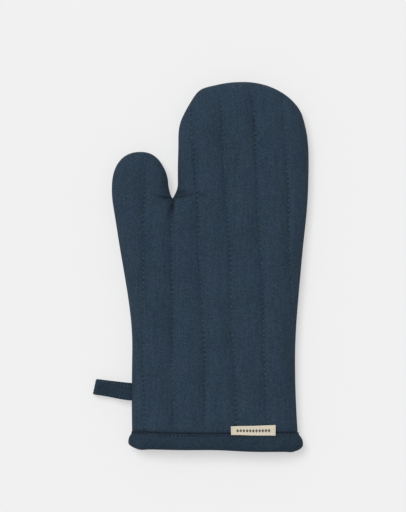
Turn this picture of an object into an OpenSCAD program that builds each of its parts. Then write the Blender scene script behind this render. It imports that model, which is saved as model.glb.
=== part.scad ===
// Quilted oven mitt, lying flat on its back face.
// Two padded panels, front and back, are sewn together round the edge. Each panel is an outer cloth, a
// batting and a lining. The cuff's raw edge is closed by a folded binding, and a hanging loop is caught
// in the side seam. The cloth is divided at the thumb's root and at the knuckles, where it bends.
// Drafting frame: x across, y from the cuff to the fingertips, z up from the surface it lies on.

/* [Overall size] */
// Length from the cuff's edge to the fingertips
mitt_len = 340; // [300:5:400]
// Width across the cuff
cuff_w = 153; // [130:1:185]
// Thickness as it lies
mitt_thick = 24; // [20:0.5:32]

/* [Finger pocket] */
// Width of the finger pocket
finger_w = 120; // [100:1:140]
// Offset of the finger pocket's middle from the cuff's middle
finger_x = 25.5; // [20:0.5:32]
// Length of the round end of the finger pocket
finger_round = 52; // [40:1:60]

// Squareness of the pockets' round ends on the thumb side; 2 is an ellipse
square_end = 2.35; // [2:0.05:3]

/* [Thumb pocket] */
// Height of the crotch, where thumb and fingers part, above the cuff's edge
crotch_y = 233; // [200:1:260]
// Distance of the crotch from the cuff's middle
crotch_x = -38.6; // [-44:0.2:-34]
// Height of the thumb's tip above the crotch
thumb_len = 43; // [36:1:52]
// Distance of the thumb's outer edge from the cuff's middle
thumb_out = 94.5; // [88:0.5:104]
// Width of the thumb pocket
thumb_w = 52; // [44:1:60]
// Length of the round end of the thumb
thumb_round = 30; // [24:1:34]
// Fall of the thumb's fold line, per millimetre from the crotch outwards
thumb_fold_fall = 0.16; // [0.05:0.01:0.3]

/* [Side curves] */
// How far the little-finger side pulls in above the cuff
waist_in = 4; // [0:0.5:8]
// Height of that waist
waist_y = 85; // [60:1:110]
// Height where the thumb side starts to swing out
flare_y = 95; // [70:1:120]

/* [Cloth and padding] */
// Thickness of the outer cloth
outer_t = 0.8; // [0.6:0.1:1.2]
// Thickness of the batting
batting_t = 4.5; // [3:0.25:6]
// Thickness of the lining
lining_t = 0.6; // [0.4:0.1:1]
// Width over which the front face rounds down to the seam
front_round = 32; // [20:1:40]
// Width over which the back face rounds up to the seam
back_round = 18; // [14:1:30]
// Thickness of the sewn seam between the two panels
seam_t = 0.5; // [0.3:0.1:1]
// Thickness of one panel's dip at the crotch, above the padding
crotch_gap = 0.6; // [0.4:0.1:2]

/* [Cuff binding] */
// Width of the binding on each face
bind_w = 19; // [12:1:24]
// Thickness of the binding's folded cloth
bind_t = 1.2; // [0.8:0.1:2]

/* [Quilting] */
// Distance between rows of quilting, at the cuff
quilt_pitch = 28; // [22:1:34]
// Distance of the crotch's row from the crotch, at the cuff
quilt_lead = 1.6; // [0:0.2:3]
// Width of a row of stitches
thread_w = 0.7; // [0.5:0.1:1]
// Depth of a stitch pulled into the cloth
thread_d = 0.6; // [0.4:0.1:0.7]

/* [Hanging loop] */
// Width of the loop's tape
loop_w = 14.5; // [10:0.5:20]
// Length of the loop outside the seam
loop_len = 35; // [26:1:44]
// Thickness of the tape
loop_t = 1.3; // [1:0.1:1.8]
// Clear height inside the loop, at its folded end
loop_gap = 6.4; // [5.8:0.1:8]
// Height of the loop's root above the cuff's edge
loop_y = 57; // [40:1:80]
// How far the loop leans towards the fingertips, in degrees
loop_lean = 7; // [0:1:12]
// Depth of the loop's ends inside the seam
loop_caught = 9; // [6:1:12]

/* [Label] */
// Length of the woven label
label_w = 40.5; // [30:0.5:50]
// Height of the woven label
label_h = 9.5; // [8:0.5:14]
// Thickness of the woven label
label_t = 0.5; // [0.3:0.1:0.8]
// Distance of the label's middle from the cuff's middle
label_x = 34.8; // [20:0.2:44]
// How far the label laps over the binding
label_lap = 2.7; // [1:0.1:5]

/* [Fits] */
// Clearance between two parts that bend on each other
fold_gap = 0.4; // [0.3:0.1:1]

/* [Hidden] */
node = "all";
seam_z = mitt_thick / 2;
half_h = seam_z - seam_t / 2;
panel_t = outer_t + batting_t + lining_t;
finger_right = finger_x + finger_w / 2;
finger_round_y = mitt_len - finger_round;
thumb_tip_y = crotch_y + thumb_len;
thumb_round_y = thumb_tip_y - thumb_round;
thumb_widest_y = crotch_y + 17;
thumb_x = thumb_w / 2 - thumb_out;
finger_widest_y = crotch_y + 32;
crotch_curve = 14;
thumb_inner_x = thumb_x + thumb_w / 2;
finger_left = finger_x - finger_w / 2;
bind_fade = 10;
crotch_round = 26;
// Each row leans by so much per millimetre of height, and bows by so much over the first 100 mm.
quilt_leans = [-0.036, -0.038, -0.014, -0.024, -0.023, -0.039];
quilt_bows = [1.6, 1.1, -1, -0.7, -0.6, 0];
quilt_tops = [thumb_tip_y - 24, crotch_y - 6, mitt_len - 28, mitt_len - 12, mitt_len - 8, mitt_len - 24];
quilt_steps = 14;
loop_r = loop_gap / 2 + loop_t;
loop_shift = loop_w / 2 * sin(loop_lean);
loop_root_x = -thumb_side(loop_y) - loop_t - fold_gap - loop_shift;
loop_run = loop_len - loop_r - loop_t - fold_gap - loop_shift;
loop_drop = asin((seam_z - loop_r) / loop_run);
loop_tip_x = loop_root_x - loop_run * cos(loop_drop) * cos(loop_lean) - loop_r - loop_shift;
label_bottom = bind_w - label_lap;
stitch_inset = 1.4;

// The model's origin is under the middle of its outline, loop included.
origin_x = (loop_tip_x + finger_right) / 2;
origin_y = mitt_len / 2;

NODES = [
  "outer_front_hand", "batting_front_hand", "lining_front_hand",
  "outer_back_hand", "batting_back_hand", "lining_back_hand",
  "outer_front_fingers", "batting_front_fingers", "lining_front_fingers",
  "outer_back_fingers", "batting_back_fingers", "lining_back_fingers",
  "outer_front_thumb", "batting_front_thumb", "lining_front_thumb",
  "outer_back_thumb", "batting_back_thumb", "lining_back_thumb",
  "side_seam_hand", "side_seam_fingers", "side_seam_thumb",
  "quilt_thread_front_hand", "quilt_thread_front_fingers", "quilt_thread_front_thumb",
  "quilt_thread_back_hand", "quilt_thread_back_fingers", "quilt_thread_back_thumb",
  "cuff_binding", "cuff_thread", "woven_label", "label_thread",
  "loop_ends", "hanging_loop", "loop_thread"
];

// ---------------------------------------------------------------- the outline
function clamp01(u) = max(0, min(1, u));
function smooth(u) = let (c = clamp01(u)) c * c * (3 - 2 * c);
// Quarter-round rise from 0 at the edge to 1.
function crown(u) = let (c = clamp01(u)) sqrt(1 - (1 - c) * (1 - c));
function mix(a, b, u) = a + (b - a) * u;

// Distance of the thumb side from the cuff's middle line, at height y.
function thumb_side(y) = cuff_w / 2 + (thumb_out - cuff_w / 2) * smooth((y - flare_y) / (thumb_widest_y - flare_y));
// Distance of the little-finger side from the middle line, at height y.
function far_side(y) =
  let (waist = cuff_w / 2 - waist_in)
  waist + waist_in * pow(1 - clamp01(y / waist_y), 2)
        + (finger_right - waist) * smooth((y - waist_y) / (finger_widest_y - waist_y));
// The crotch's curve: 1 at the crotch, 0 where the pocket's side is straight.
function crotch_pull(y) = pow(1 - clamp01((y - crotch_y) / crotch_curve), 2);
// Half width, from 1 to 0, along a pocket's round end; k is its squareness.
function round_end(y, start, tip, k) = let (u = clamp01((y - start) / (tip - start))) pow(1 - pow(u, k), 1 / k);

// Left and right edges at height y, at the depth t below the cloth's face.
function hand_edges(y, t) = [-thumb_side(y) + t, far_side(y) - t];
function finger_edges(y, t) =
  let (left = mix(finger_left, crotch_x + fold_gap, crotch_pull(y)), tip = mitt_len - t)
  [finger_x - (finger_x - left - t) * round_end(y, finger_round_y, tip, square_end),
   finger_x + (far_side(y) - finger_x - t) * round_end(y, finger_round_y, tip, 2)];
function thumb_edges(y, t) =
  let (right = mix(thumb_inner_x, crotch_x - fold_gap, crotch_pull(y)), tip = thumb_tip_y - t)
  [thumb_x - (thumb_side(y) + thumb_x - t) * round_end(y, thumb_round_y, tip, square_end),
   thumb_x + (right - thumb_x - t) * round_end(y, thumb_round_y, tip, 2)];

// Height of the fold lines at x: level across the knuckles, falling outwards along the thumb's root.
function fold_y(x) = crotch_y - thumb_fold_fall * max(0, crotch_x - x);

// ---------------------------------------------------------------- a panel's face
// Half thickness at the cuff is less by the binding, which then lies level with the rest.
function face_h(y, t) = half_h - t - bind_t * (1 - clamp01((y - bind_w) / bind_fade));
// Rise of a face above the seam: side is 1 for the front face and -1 for the back one.
function round_w(side) = side > 0 ? front_round : back_round;
function rise(s, edges, side, t) =
  let (w = edges[1] - edges[0], r = round_w(side) - t)
  crown(s * w / r) * crown((1 - s) * w / r);
function crotch_dip(p, h, t) =
  let (far = norm(p - [crotch_x, crotch_y]) / crotch_round, low = panel_t + crotch_gap - t)
  mix(min(1, low / h), 1, smooth(far));
function face_z(side, h) = seam_z + side * (seam_t / 2 + h);

// One point of the hand's face: s runs across, row is a height, or a share of the way to the fold line.
function hand_point(side, s, row, t) =
  let (top = [-thumb_side(crotch_y - 10) + t, far_side(crotch_y) - t],
       top_x = mix(top[0], top[1], s),
       top_y = fold_y(top_x),
       y = row[0] < 0 ? mix(bind_w + bind_fade, top_y, row[1]) : row[0],
       e = hand_edges(y, t),
       etop = hand_edges(top_y, t),
       x = mix(e[0], e[1], s) + (row[0] < 0 ? pow(row[1], 6) * (top_x - mix(etop[0], etop[1], s)) : 0),
       h = face_h(y, t),
       dip = crotch_dip([x, y], h, t))
  [x, y, face_z(side, h * rise(s, e, side, t) * dip)];

function pocket_point(side, s, v, t, base, tip, edges) =
  let (y = mix(base, tip - t, v), r = round_w(side) - t)
  [mix(edges[0], edges[1], s), y, face_z(side, (half_h - t) * rise(s, edges, side, t) * crown((tip - t - y) / r))];
function finger_point(side, s, v, t) =
  let (base = crotch_y + fold_gap, y = mix(base, mitt_len - t, v))
  pocket_point(side, s, v, t, base, mitt_len, finger_edges(y, t));
function thumb_point(side, s, v, t) =
  let (e0 = thumb_edges(crotch_y - 5, t), base = fold_y(mix(e0[0], e0[1], s)) + fold_gap,
       y = mix(base, thumb_tip_y - t, v))
  pocket_point(side, s, v, t, base, thumb_tip_y, thumb_edges(y, t));

// Columns across a face, closer together towards its edges; the hand has one at the crotch.
crotch_s = (crotch_x + thumb_side(crotch_y - 10)) / (far_side(crotch_y) + thumb_side(crotch_y - 10));
hand_columns = concat(
  [for (i = [0:6]) crotch_s * (1 - cos(15 * i))],
  [for (i = [1:8]) crotch_s + (1 - crotch_s) * sin(11.25 * i)]);
function even_columns(n) = [for (i = [0:n]) (1 - cos(180 * i / n)) / 2];
finger_columns = even_columns(12);
thumb_columns = even_columns(8);
// Rows along a face: fixed heights by the cuff, written [y, 0], then shares of the way to the fold line.
hand_rows = concat(
  [[bind_t, 0], [bind_w, 0], [bind_w + bind_fade, 0]],
  [for (v = [0.15, 0.35, 0.55, 0.75, 0.9, 1]) [-1, v]]);
function pocket_rows(n) = [for (i = [0:n]) sin(90 * i / n)];
finger_rows = pocket_rows(8);
thumb_rows = pocket_rows(6);

// A face as a grid of points, row by row.
function hand_face(side, t) = [for (row = hand_rows) [for (s = hand_columns) hand_point(side, s, row, t)]];
function finger_face(side, t) = [for (v = finger_rows) [for (s = finger_columns) finger_point(side, s, v, t)]];
function thumb_face(side, t) = [for (v = thumb_rows) [for (s = thumb_columns) thumb_point(side, s, v, t)]];
function face_of(part, side, t) =
  part == "hand" ? hand_face(side, t) : part == "fingers" ? finger_face(side, t) : thumb_face(side, t);

// ---------------------------------------------------------------- solids from grids
function reversed(list) = [for (i = [len(list) - 1:-1:0]) list[i]];
function joined(lists) = [for (l = lists) each l];

// Cuts each four-sided face into two triangles, from its first corner; flip turns them over.
function halves(quads, flip) = [for (q = quads) each flip
  ? [[q[0], q[2], q[1]], [q[0], q[3], q[2]]]
  : [[q[0], q[1], q[2]], [q[0], q[2], q[3]]]];

// A solid between two grids of the same size: near lies outside, far inside. flip turns it inside out for a
// solid that lies the other way up. closed_end is false where the last row closes to a point.
module between(near, far, flip, closed_end = true) {
  rows = len(near);
  cols = len(near[0]);
  ring = 2 * cols;
  points = joined([for (j = [0:rows - 1]) concat(near[j], reversed(far[j]))]);
  sides = [for (j = [0:rows - 2], i = [0:ring - 1])
    let (a = j * ring + i, b = j * ring + (i + 1) % ring, c = b + ring, d = a + ring)
    i < cols ? [a, d, c, b] : [d, c, b, a]];
  caps = [for (j = closed_end ? [0, rows - 1] : [0], i = [0:cols - 2])
    let (a = j * ring + i, b = a + 1, c = j * ring + ring - 2 - i, d = c + 1)
    j == 0 ? [a, b, c, d] : [d, c, b, a]];
  polyhedron(points, halves(concat(sides, caps), flip), convexity = 8);
}

// One layer of one panel, between the depths t0 and t1 below the cloth's face.
module layer(part, side, t0, t1) {
  between(face_of(part, side, t0), face_of(part, side, t1), side < 0, part == "hand");
}

// The seam's strip round one part, as thick as seam_t and as wide as the panel is thick.
module seam_strip(part) {
  out_top = face_of(part, 1, 0);
  in_top = face_of(part, 1, panel_t);
  last = len(out_top[0]) - 1;
  function flat(p, side) = [p[0], p[1], seam_z + side * seam_t / 2];
  sides = part == "hand" ? [[0, 0], [last, last]] : [[0, last]];
  for (pair = sides) {
    path_out = pair[0] == pair[1] ? [for (r = out_top) r[pair[0]]]
      : concat([for (r = out_top) r[0]], reversed([for (j = [0:len(out_top) - 2]) out_top[j][last]]));
    path_in = pair[0] == pair[1] ? [for (r = in_top) r[pair[0]]]
      : concat([for (r = in_top) r[0]], reversed([for (j = [0:len(in_top) - 2]) in_top[j][last]]));
    swap = pair[0] == last;
    between(
      [for (i = [0:len(path_out) - 1]) [flat(path_out[i], 1), flat(path_in[i], 1)]],
      [for (i = [0:len(path_out) - 1]) [flat(path_out[i], -1), flat(path_in[i], -1)]],
      swap);
  }
}

// ---------------------------------------------------------------- the cuff
// The closed curve round the cuff at height y and depth t below the cloth's face.
function cuff_ring(y, t) = concat(
  [for (s = hand_columns) hand_point(1, s, [y, 0], t)],
  reversed([for (s = hand_columns) hand_point(-1, s, [y, 0], t)]));

// A band swept round the cuff; profile lists its corners as [height, depth]. Each face is cut along the same
// diagonal as the panel's face that it touches.
module cuff_band(profile) {
  rings = [for (p = profile) [for (q = cuff_ring(p[0], p[1])) [q[0], p[0], q[2]]]];
  n = len(rings[0]);
  k = len(rings);
  faces = [for (j = [0:k - 1], i = [0:n - 1])
    let (next = (j + 1) % k,
         a = j * n + i, b = j * n + (i + 1) % n, c = next * n + (i + 1) % n, d = next * n + i,
         rising = profile[next][0] > profile[j][0])
    rising == (i < n / 2) ? [a, b, c, d] : [b, c, d, a]];
  polyhedron(joined(rings), halves(faces, false), convexity = 8);
}

// The binding is a strip folded over the raw edge, from the outer cloth round to the lining.
module cuff_binding() {
  color("#2d3b49") cuff_band([
    [bind_w, -bind_t], [0, -bind_t], [0, panel_t + bind_t], [bind_w, panel_t + bind_t],
    [bind_w, panel_t], [bind_t, panel_t], [bind_t, 0], [bind_w, 0]]);
}

module cuff_thread() {
  y = bind_w - stitch_inset;
  color("#46576a") cuff_band([
    [y, -bind_t], [y - thread_w, -bind_t], [y - thread_w, thread_d - bind_t], [y, thread_d - bind_t]]);
}

// ---------------------------------------------------------------- quilting
// Rows are counted from the crotch's, so each stays over its own pocket when the cuff gets wider.
function quilt_x(i, y) =
  crotch_x + quilt_lead + (i - 1) * quilt_pitch + quilt_leans[i] * y + quilt_bows[i] * pow(y / 100, 2);
// Height of a part's face over the point x, y.
function face_over(part, side, x, y, t) =
  let (e = part == "hand" ? hand_edges(y, t) : part == "fingers" ? finger_edges(y, t) : thumb_edges(y, t),
       s = clamp01((x - e[0]) / (e[1] - e[0])),
       tip = part == "fingers" ? mitt_len - t : thumb_tip_y - t,
       h = part == "hand" ? face_h(y, t) * crotch_dip([x, y], face_h(y, t), t)
         : (half_h - t) * crown((tip - y) / (round_w(side) - t)))
  face_z(side, h * rise(s, e, side, t));

// One row of stitches between two heights, as a flat strip pulled into the cloth.
module quilt_row(part, side, i, y0, y1) {
  ys = [for (k = [0:quilt_steps]) mix(y0, y1, k / quilt_steps)];
  function edge(y, dx, d) = let (x = quilt_x(i, y)) [x + dx, y, face_over(part, side, x, y, 0) - side * d];
  between(
    [for (y = ys) [edge(y, -thread_w / 2, 0), edge(y, thread_w / 2, 0)]],
    [for (y = ys) [edge(y, -thread_w / 2, thread_d), edge(y, thread_w / 2, thread_d)]],
    side < 0);
}

module quilting(part, side) {
  color("#4a5b6c")
    if (part == "hand")
      for (i = [0:5]) {
        x = quilt_x(i, crotch_y);
        start = i == 5 ? waist_y + 42 : bind_w + 0.5;
        quilt_row(part, side, i, start, min(fold_y(x) - 1, quilt_tops[i]));
      }
    else if (part == "fingers")
      for (i = [2:5]) quilt_row(part, side, i, crotch_y + fold_gap + 1, quilt_tops[i]);
    else
      quilt_row(part, side, 0, fold_y(quilt_x(0, crotch_y)) + fold_gap + 1, quilt_tops[0]);
}

// ---------------------------------------------------------------- hanging loop
module loop_place() {
  translate([loop_root_x, loop_y, seam_z]) rotate([0, 0, -loop_lean]) rotate([0, -loop_drop, 0])
    rotate([90, 0, 0]) children();
}

// The loop's side view: a teardrop of tape, with its root at the origin and its fold at the far end.
module teardrop(r_root, r_fold) {
  hull() {
    circle(r_root, $fn = 24);
    translate([-loop_run, 0]) circle(r_fold, $fn = 32);
  }
}

module hanging_loop() {
  color("#27333f") loop_place() linear_extrude(loop_w, center = true) difference() {
    teardrop(loop_t, loop_r);
    intersection() {
      teardrop(0.2, loop_gap / 2);
      translate([-loop_len, -loop_len / 2]) square([loop_len - loop_t * 3, loop_len]);
    }
  }
}

// Two rows of edge stitching, flush in the tape's upper leg.
module loop_thread() {
  slope = asin((loop_r - loop_t) / loop_run);
  color("#46576a") loop_place()
    for (z = [-1, 1]) translate([0, 0, z * (loop_w / 2 - stitch_inset)])
      rotate([0, 0, -slope]) translate([-loop_run, loop_t - thread_d, -thread_w / 2])
        cube([loop_run - stitch_inset, thread_d, thread_w]);
}

// The loop's ends, pressed flat between the two panels.
module loop_end_box(length, thick) {
  translate([length / 2 - thumb_side(loop_y) - (length - loop_caught), loop_y, seam_z])
    cube([length, loop_w, thick], center = true);
}

module loop_ends() {
  color("#27333f") loop_end_box(loop_caught, seam_t);
}

// ---------------------------------------------------------------- label
// Height of the binding, or of the cloth beyond it, at x, y.
function cuff_top(x, y) = face_over("hand", 1, x, y, y > bind_w ? 0 : -bind_t);

// A patch that lies on the cuff between two corners, from the height low to the height high above the cloth.
module cuff_patch(x0, x1, y0, y1, low, high) {
  steps = 6;
  xs = [for (i = [0:steps]) mix(x0, x1, i / steps)];
  ys = [y0, bind_w, y1];
  function sheet(lift) = [for (y = ys) [for (x = xs) [x, y, cuff_top(x, y) + lift]]];
  between(sheet(high), sheet(low), false);
}

module woven_label() {
  color("#d8cfb8")
    cuff_patch(label_x - label_w / 2, label_x + label_w / 2, label_bottom, label_bottom + label_h, 0, label_t);
}

// A short row of stitches holds each end of the label.
module label_thread() {
  color("#efe9da") for (side = [-1, 1]) {
    x = label_x + side * (label_w / 2 - stitch_inset);
    cuff_patch(x - thread_w / 2, x + thread_w / 2, label_bottom + 1, label_bottom + label_h - 1,
      label_t / 2, label_t);
  }
}

// ---------------------------------------------------------------- the parts
module cloth(part, side) { color("#2e3d4c") layer(part, side, 0, outer_t); }
module batting(part, side) { color("#ece8de") layer(part, side, outer_t, outer_t + batting_t); }
module lining(part, side) { color("#3a4a59") layer(part, side, outer_t + batting_t, panel_t); }
module seam(part) {
  color("#3a4a59")
    if (part == "hand") difference() {
      seam_strip(part);
      loop_end_box(loop_caught + 1, seam_t + 1);
    }
    else seam_strip(part);
}

module placed() { translate([-origin_x, -origin_y, 0]) children(); }
function shown(name) = node == "all" || node == name;

placed() {
  for (part = ["hand", "fingers", "thumb"]) {
    if (shown(str("outer_front_", part))) cloth(part, 1);
    if (shown(str("outer_back_", part))) cloth(part, -1);
    if (shown(str("batting_front_", part))) batting(part, 1);
    if (shown(str("batting_back_", part))) batting(part, -1);
    if (shown(str("lining_front_", part))) lining(part, 1);
    if (shown(str("lining_back_", part))) lining(part, -1);
    if (shown(str("side_seam_", part))) seam(part);
    if (shown(str("quilt_thread_front_", part))) quilting(part, 1);
    if (shown(str("quilt_thread_back_", part))) quilting(part, -1);
  }
  if (shown("cuff_binding")) cuff_binding();
  if (shown("cuff_thread")) cuff_thread();
  if (shown("woven_label")) woven_label();
  if (shown("label_thread")) label_thread();
  if (shown("loop_ends")) loop_ends();
  if (shown("hanging_loop")) hanging_loop();
  if (shown("loop_thread")) loop_thread();
}
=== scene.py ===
# %% [markdown]
# # A quilted oven mitt, lying flat
#
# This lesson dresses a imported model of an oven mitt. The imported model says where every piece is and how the
# mitt bends. Here each piece gets its real surface: two quilted panels with a pocket between them, a folded
# binding round the cuff, rows of stitches, a woven label and a hanging loop. Every shape is worked out as
# whole arrays with numpy, the cloth is then puffed and puckered by a cloth simulation, and every finish is
# made of nodes.

import bpy
import numpy as np
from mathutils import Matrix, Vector


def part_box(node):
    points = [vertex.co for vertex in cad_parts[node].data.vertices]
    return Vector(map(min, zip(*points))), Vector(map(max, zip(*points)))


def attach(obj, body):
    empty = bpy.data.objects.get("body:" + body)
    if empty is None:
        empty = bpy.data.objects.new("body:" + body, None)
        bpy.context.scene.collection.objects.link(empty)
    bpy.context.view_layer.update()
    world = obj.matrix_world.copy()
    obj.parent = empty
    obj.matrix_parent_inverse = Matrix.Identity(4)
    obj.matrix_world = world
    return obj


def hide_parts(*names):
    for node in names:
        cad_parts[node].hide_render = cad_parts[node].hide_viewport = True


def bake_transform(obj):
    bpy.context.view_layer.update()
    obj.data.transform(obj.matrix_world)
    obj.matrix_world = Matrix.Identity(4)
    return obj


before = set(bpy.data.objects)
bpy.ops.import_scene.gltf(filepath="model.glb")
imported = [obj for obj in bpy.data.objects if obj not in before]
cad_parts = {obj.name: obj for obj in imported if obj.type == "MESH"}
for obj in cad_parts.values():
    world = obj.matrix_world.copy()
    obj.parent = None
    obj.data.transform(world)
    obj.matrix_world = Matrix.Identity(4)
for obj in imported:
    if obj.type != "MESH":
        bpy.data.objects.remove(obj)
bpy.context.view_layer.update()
MM = 0.001

# %% [markdown]
# ## The pattern maker's frame
#
# A pattern is drafted on the table with the cuff's middle at zero, so lengths below are in millimetres from
# there: x across, y towards the fingertips, z up from the table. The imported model's boxes give the driving
# sizes, and `to_metres` puts finished points back where the model stands.

# %% Drafting frame and driving sizes
bind_low, bind_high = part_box("cuff_binding")
draft_origin = np.array([(bind_low.x + bind_high.x) / 2, bind_low.y, 0.0])


def to_metres(points):
    """Draft millimetres to the model's metres: divide by 1000, then move the cuff's middle to its place."""
    return np.asarray(points, float) * MM + draft_origin


def draft_box(node):
    """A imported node's lowest and highest corners, in draft millimetres."""
    low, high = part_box(node)
    return (np.array(low) - draft_origin) / MM, (np.array(high) - draft_origin) / MM


bind_hi = draft_box("cuff_binding")[1]
hand_hi = draft_box("outer_front_hand")[1]
finger_lo, finger_hi = draft_box("outer_front_fingers")
thumb_lo, thumb_hi = draft_box("outer_front_thumb")
label_lo, label_hi = draft_box("woven_label")

BIND_THICK = 1.2
TABLE_GAP = 0.02
cuff_half = bind_hi[0] - BIND_THICK
bind_top = bind_hi[1]
mitt_length = finger_hi[1]
thickness = bind_hi[2]
seam_z = thickness / 2
crotch = np.array([(thumb_hi[0] + finger_lo[0]) / 2, hand_hi[1]])
finger_right = finger_hi[0]
thumb_out = -thumb_lo[0]
thumb_tip = thumb_hi[1]
print("mitt", round(mitt_length), "mm long, crotch at", crotch.round(1), "thumb tip at", round(thumb_tip, 1))

# %% [markdown]
# ## The outline
#
# The outline is the seam that joins the two panels. Its sides are smooth steps between straight stretches,
# and each pocket ends in a half-ellipse, a little squarer on the thumb side. Writing it as formulas keeps
# the edge smooth at any mesh size, where a traced line would wobble.

# %% Outline formulas
WAIST_IN, WAIST_Y, FLARE_Y = 4.0, 85.0, 95.0
FINGER_WIDTH, FINGER_ROUND = 120.0, 52.0
THUMB_WIDTH, THUMB_ROUND = 52.0, 30.0
SQUARE_END = 2.35
CROTCH_CURVE = 14.0
THUMB_PAST, KNUCKLE_PAST = 17.0, 32.0
FOLD_FALL = 0.16
finger_mid = finger_right - FINGER_WIDTH / 2
finger_round_y = mitt_length - FINGER_ROUND
thumb_mid = THUMB_WIDTH / 2 - thumb_out
thumb_round_y = thumb_tip - THUMB_ROUND


def smooth(u):
    """Smooth step: 0 below 0, 1 above 1, and 3u^2 - 2u^3 between."""
    u = np.clip(u, 0, 1)
    return u * u * (3 - 2 * u)


def bell(distance, width):
    """A bump that is 1 at no distance and fades as exp(-(d / w)^2)."""
    return np.exp(-((distance / width) ** 2))


def thumb_side(y):
    """x of the thumb-side edge: straight by the cuff, then a smooth step outwards to the thumb."""
    flare = smooth((y - FLARE_Y) / (crotch[1] + THUMB_PAST - FLARE_Y))
    return -(cuff_half + (thumb_out - cuff_half) * flare)


def far_side(y):
    """x of the little-finger edge: a parabola in to the waist, then a smooth step out to the knuckles."""
    waist = cuff_half - WAIST_IN
    flare = (finger_right - waist) * smooth((y - WAIST_Y) / (crotch[1] + KNUCKLE_PAST - WAIST_Y))
    return waist + WAIST_IN * (1 - np.clip(y / WAIST_Y, 0, 1)) ** 2 + flare


def crotch_pull(y):
    """1 at the crotch, falling as a parabola to 0 where the pockets' inner sides are straight."""
    return (1 - np.clip((y - crotch[1]) / CROTCH_CURVE, 0, 1)) ** 2


def inner_side(y, straight_x):
    """x of a pocket's inner side, which curves in to the crotch."""
    return straight_x + (crotch[0] - straight_x) * crotch_pull(y)


def round_end(u, square):
    """Half width, from 1 to 0, as u runs 0 to 1 along a round end: (1 - u^k)^(1/k)."""
    return (1 - np.clip(u, 0, 1) ** square) ** (1 / square)


def fold_line(x):
    """y of the fold: level across the knuckles, falling outwards along the thumb's root."""
    return crotch[1] - FOLD_FALL * np.maximum(0, crotch[0] - x)


# %% [markdown]
# ## Rows of quilting
#
# Each panel is quilted before it is sewn: rows of stitches go through cloth, batting and lining, one
# presser foot's width apart. They are nearly parallel, but each leans and bows a little because it was sewn
# by hand. The mesh is built so that one of its columns runs along each row, since that is where the cloth
# is held down.

# %% Quilting rows
QUILT_LEAD, QUILT_PITCH = 1.6, 28.0
QUILT_LEANS = np.array([-0.036, -0.038, -0.014, -0.024, -0.023, -0.039])
QUILT_BOWS = np.array([1.6, 1.1, -1.0, -0.7, -0.6, 0.0])
STITCH = 4.4
COLUMN_INSIDE = 5.0


def quilt_x(row, y):
    """x of a row of quilting at height y: its start, plus lean times y, plus bow times (y / 100)^2, and a
    small wander of half a millimetre. Row 1 is drawn in to the crotch, where it ends."""
    start = crotch[0] + QUILT_LEAD + QUILT_PITCH * (row - 1)
    wander = 0.5 * np.sin(y / 21 + 1.7 * row) + 0.25 * np.sin(y / 7.3 + row)
    x = start + QUILT_LEANS[row] * y + QUILT_BOWS[row] * (y / 100) ** 2 + wander
    if row != 1:
        return x
    free = 1 - crotch_pull(np.abs(y - crotch[1]) + crotch[1])
    return crotch[0] + (x - crotch[0]) * free


def far_column(y):
    """The last row's column, kept just inside the far edge where the row runs out over it."""
    return np.minimum(quilt_x(5, y), far_side(y) - COLUMN_INSIDE)


# %% [markdown]
# ## A panel as one mesh
#
# A mitt's panel is a palm with two pockets growing from it, so one rectangular grid can't cover it without
# a crease at the crotch. Instead the palm is one grid, and the thumb and the fingers are two more that
# share its top row. Inside each grid, the strip between two rows of quilting is a Coons patch: its four
# edges are known curves, and the points between them are blended from all four.


# %% Curves and shares
def spread(count, crowd_start=1.0, crowd_end=1.0):
    """count + 1 shares from 0 to 1. A crowd above 1, as a power, packs them towards that end."""
    u = np.linspace(0, 1, count + 1)
    return 1 - (1 - u**crowd_start) ** crowd_end


def curve_of(x_of_y, y):
    """Points along a side that is given as x for each y."""
    return np.stack([x_of_y(y) + 0 * y, y], 1)


# %% Outline of a round end
def end_point_y(x, mid, half_left, half_right, base_y, rise):
    """y of a round end over x: base plus rise times the half-ellipse's height, squared off on its left."""
    u = (x - mid) / np.where(x < mid, half_left, half_right)
    return base_y + rise * round_end(np.abs(u), np.where(x < mid, SQUARE_END, 2.0))


def finger_top(x):
    """y of the finger pocket's round end over x."""
    half_left = finger_mid - (finger_right - FINGER_WIDTH)
    return end_point_y(x, finger_mid, half_left, FINGER_WIDTH / 2, finger_round_y, FINGER_ROUND)


def thumb_top(x):
    """y of the thumb's round end over x."""
    return end_point_y(x, thumb_mid, THUMB_WIDTH / 2, THUMB_WIDTH / 2, thumb_round_y, THUMB_ROUND)


def edge_with_corner(x_of_y, mid, half, base_y, rise, square):
    """A pocket's side, straight up to base_y and then along the round end."""

    def x_at(y):
        """x of that line at height y."""
        u = np.clip((y - base_y) / rise, 0, 1)
        return mid + half * round_end(u, square) + (x_of_y(y) - (mid + half)) * (u <= 0)

    return x_at


def finger_inner(y):
    """x of the finger pocket's side next to the thumb."""
    return inner_side(y, finger_right - FINGER_WIDTH)


def thumb_inner(y):
    """x of the thumb's side next to the fingers."""
    return inner_side(y, thumb_mid + THUMB_WIDTH / 2)


finger_end = (finger_round_y, FINGER_ROUND)
thumb_end = (thumb_round_y, THUMB_ROUND)
finger_left_x = edge_with_corner(finger_inner, finger_mid, -FINGER_WIDTH / 2, *finger_end, SQUARE_END)
finger_right_x = edge_with_corner(far_side, finger_mid, FINGER_WIDTH / 2, *finger_end, 2.0)
thumb_left_x = edge_with_corner(thumb_side, thumb_mid, -THUMB_WIDTH / 2, *thumb_end, SQUARE_END)
thumb_right_x = edge_with_corner(thumb_inner, thumb_mid, THUMB_WIDTH / 2, *thumb_end, 2.0)

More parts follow.
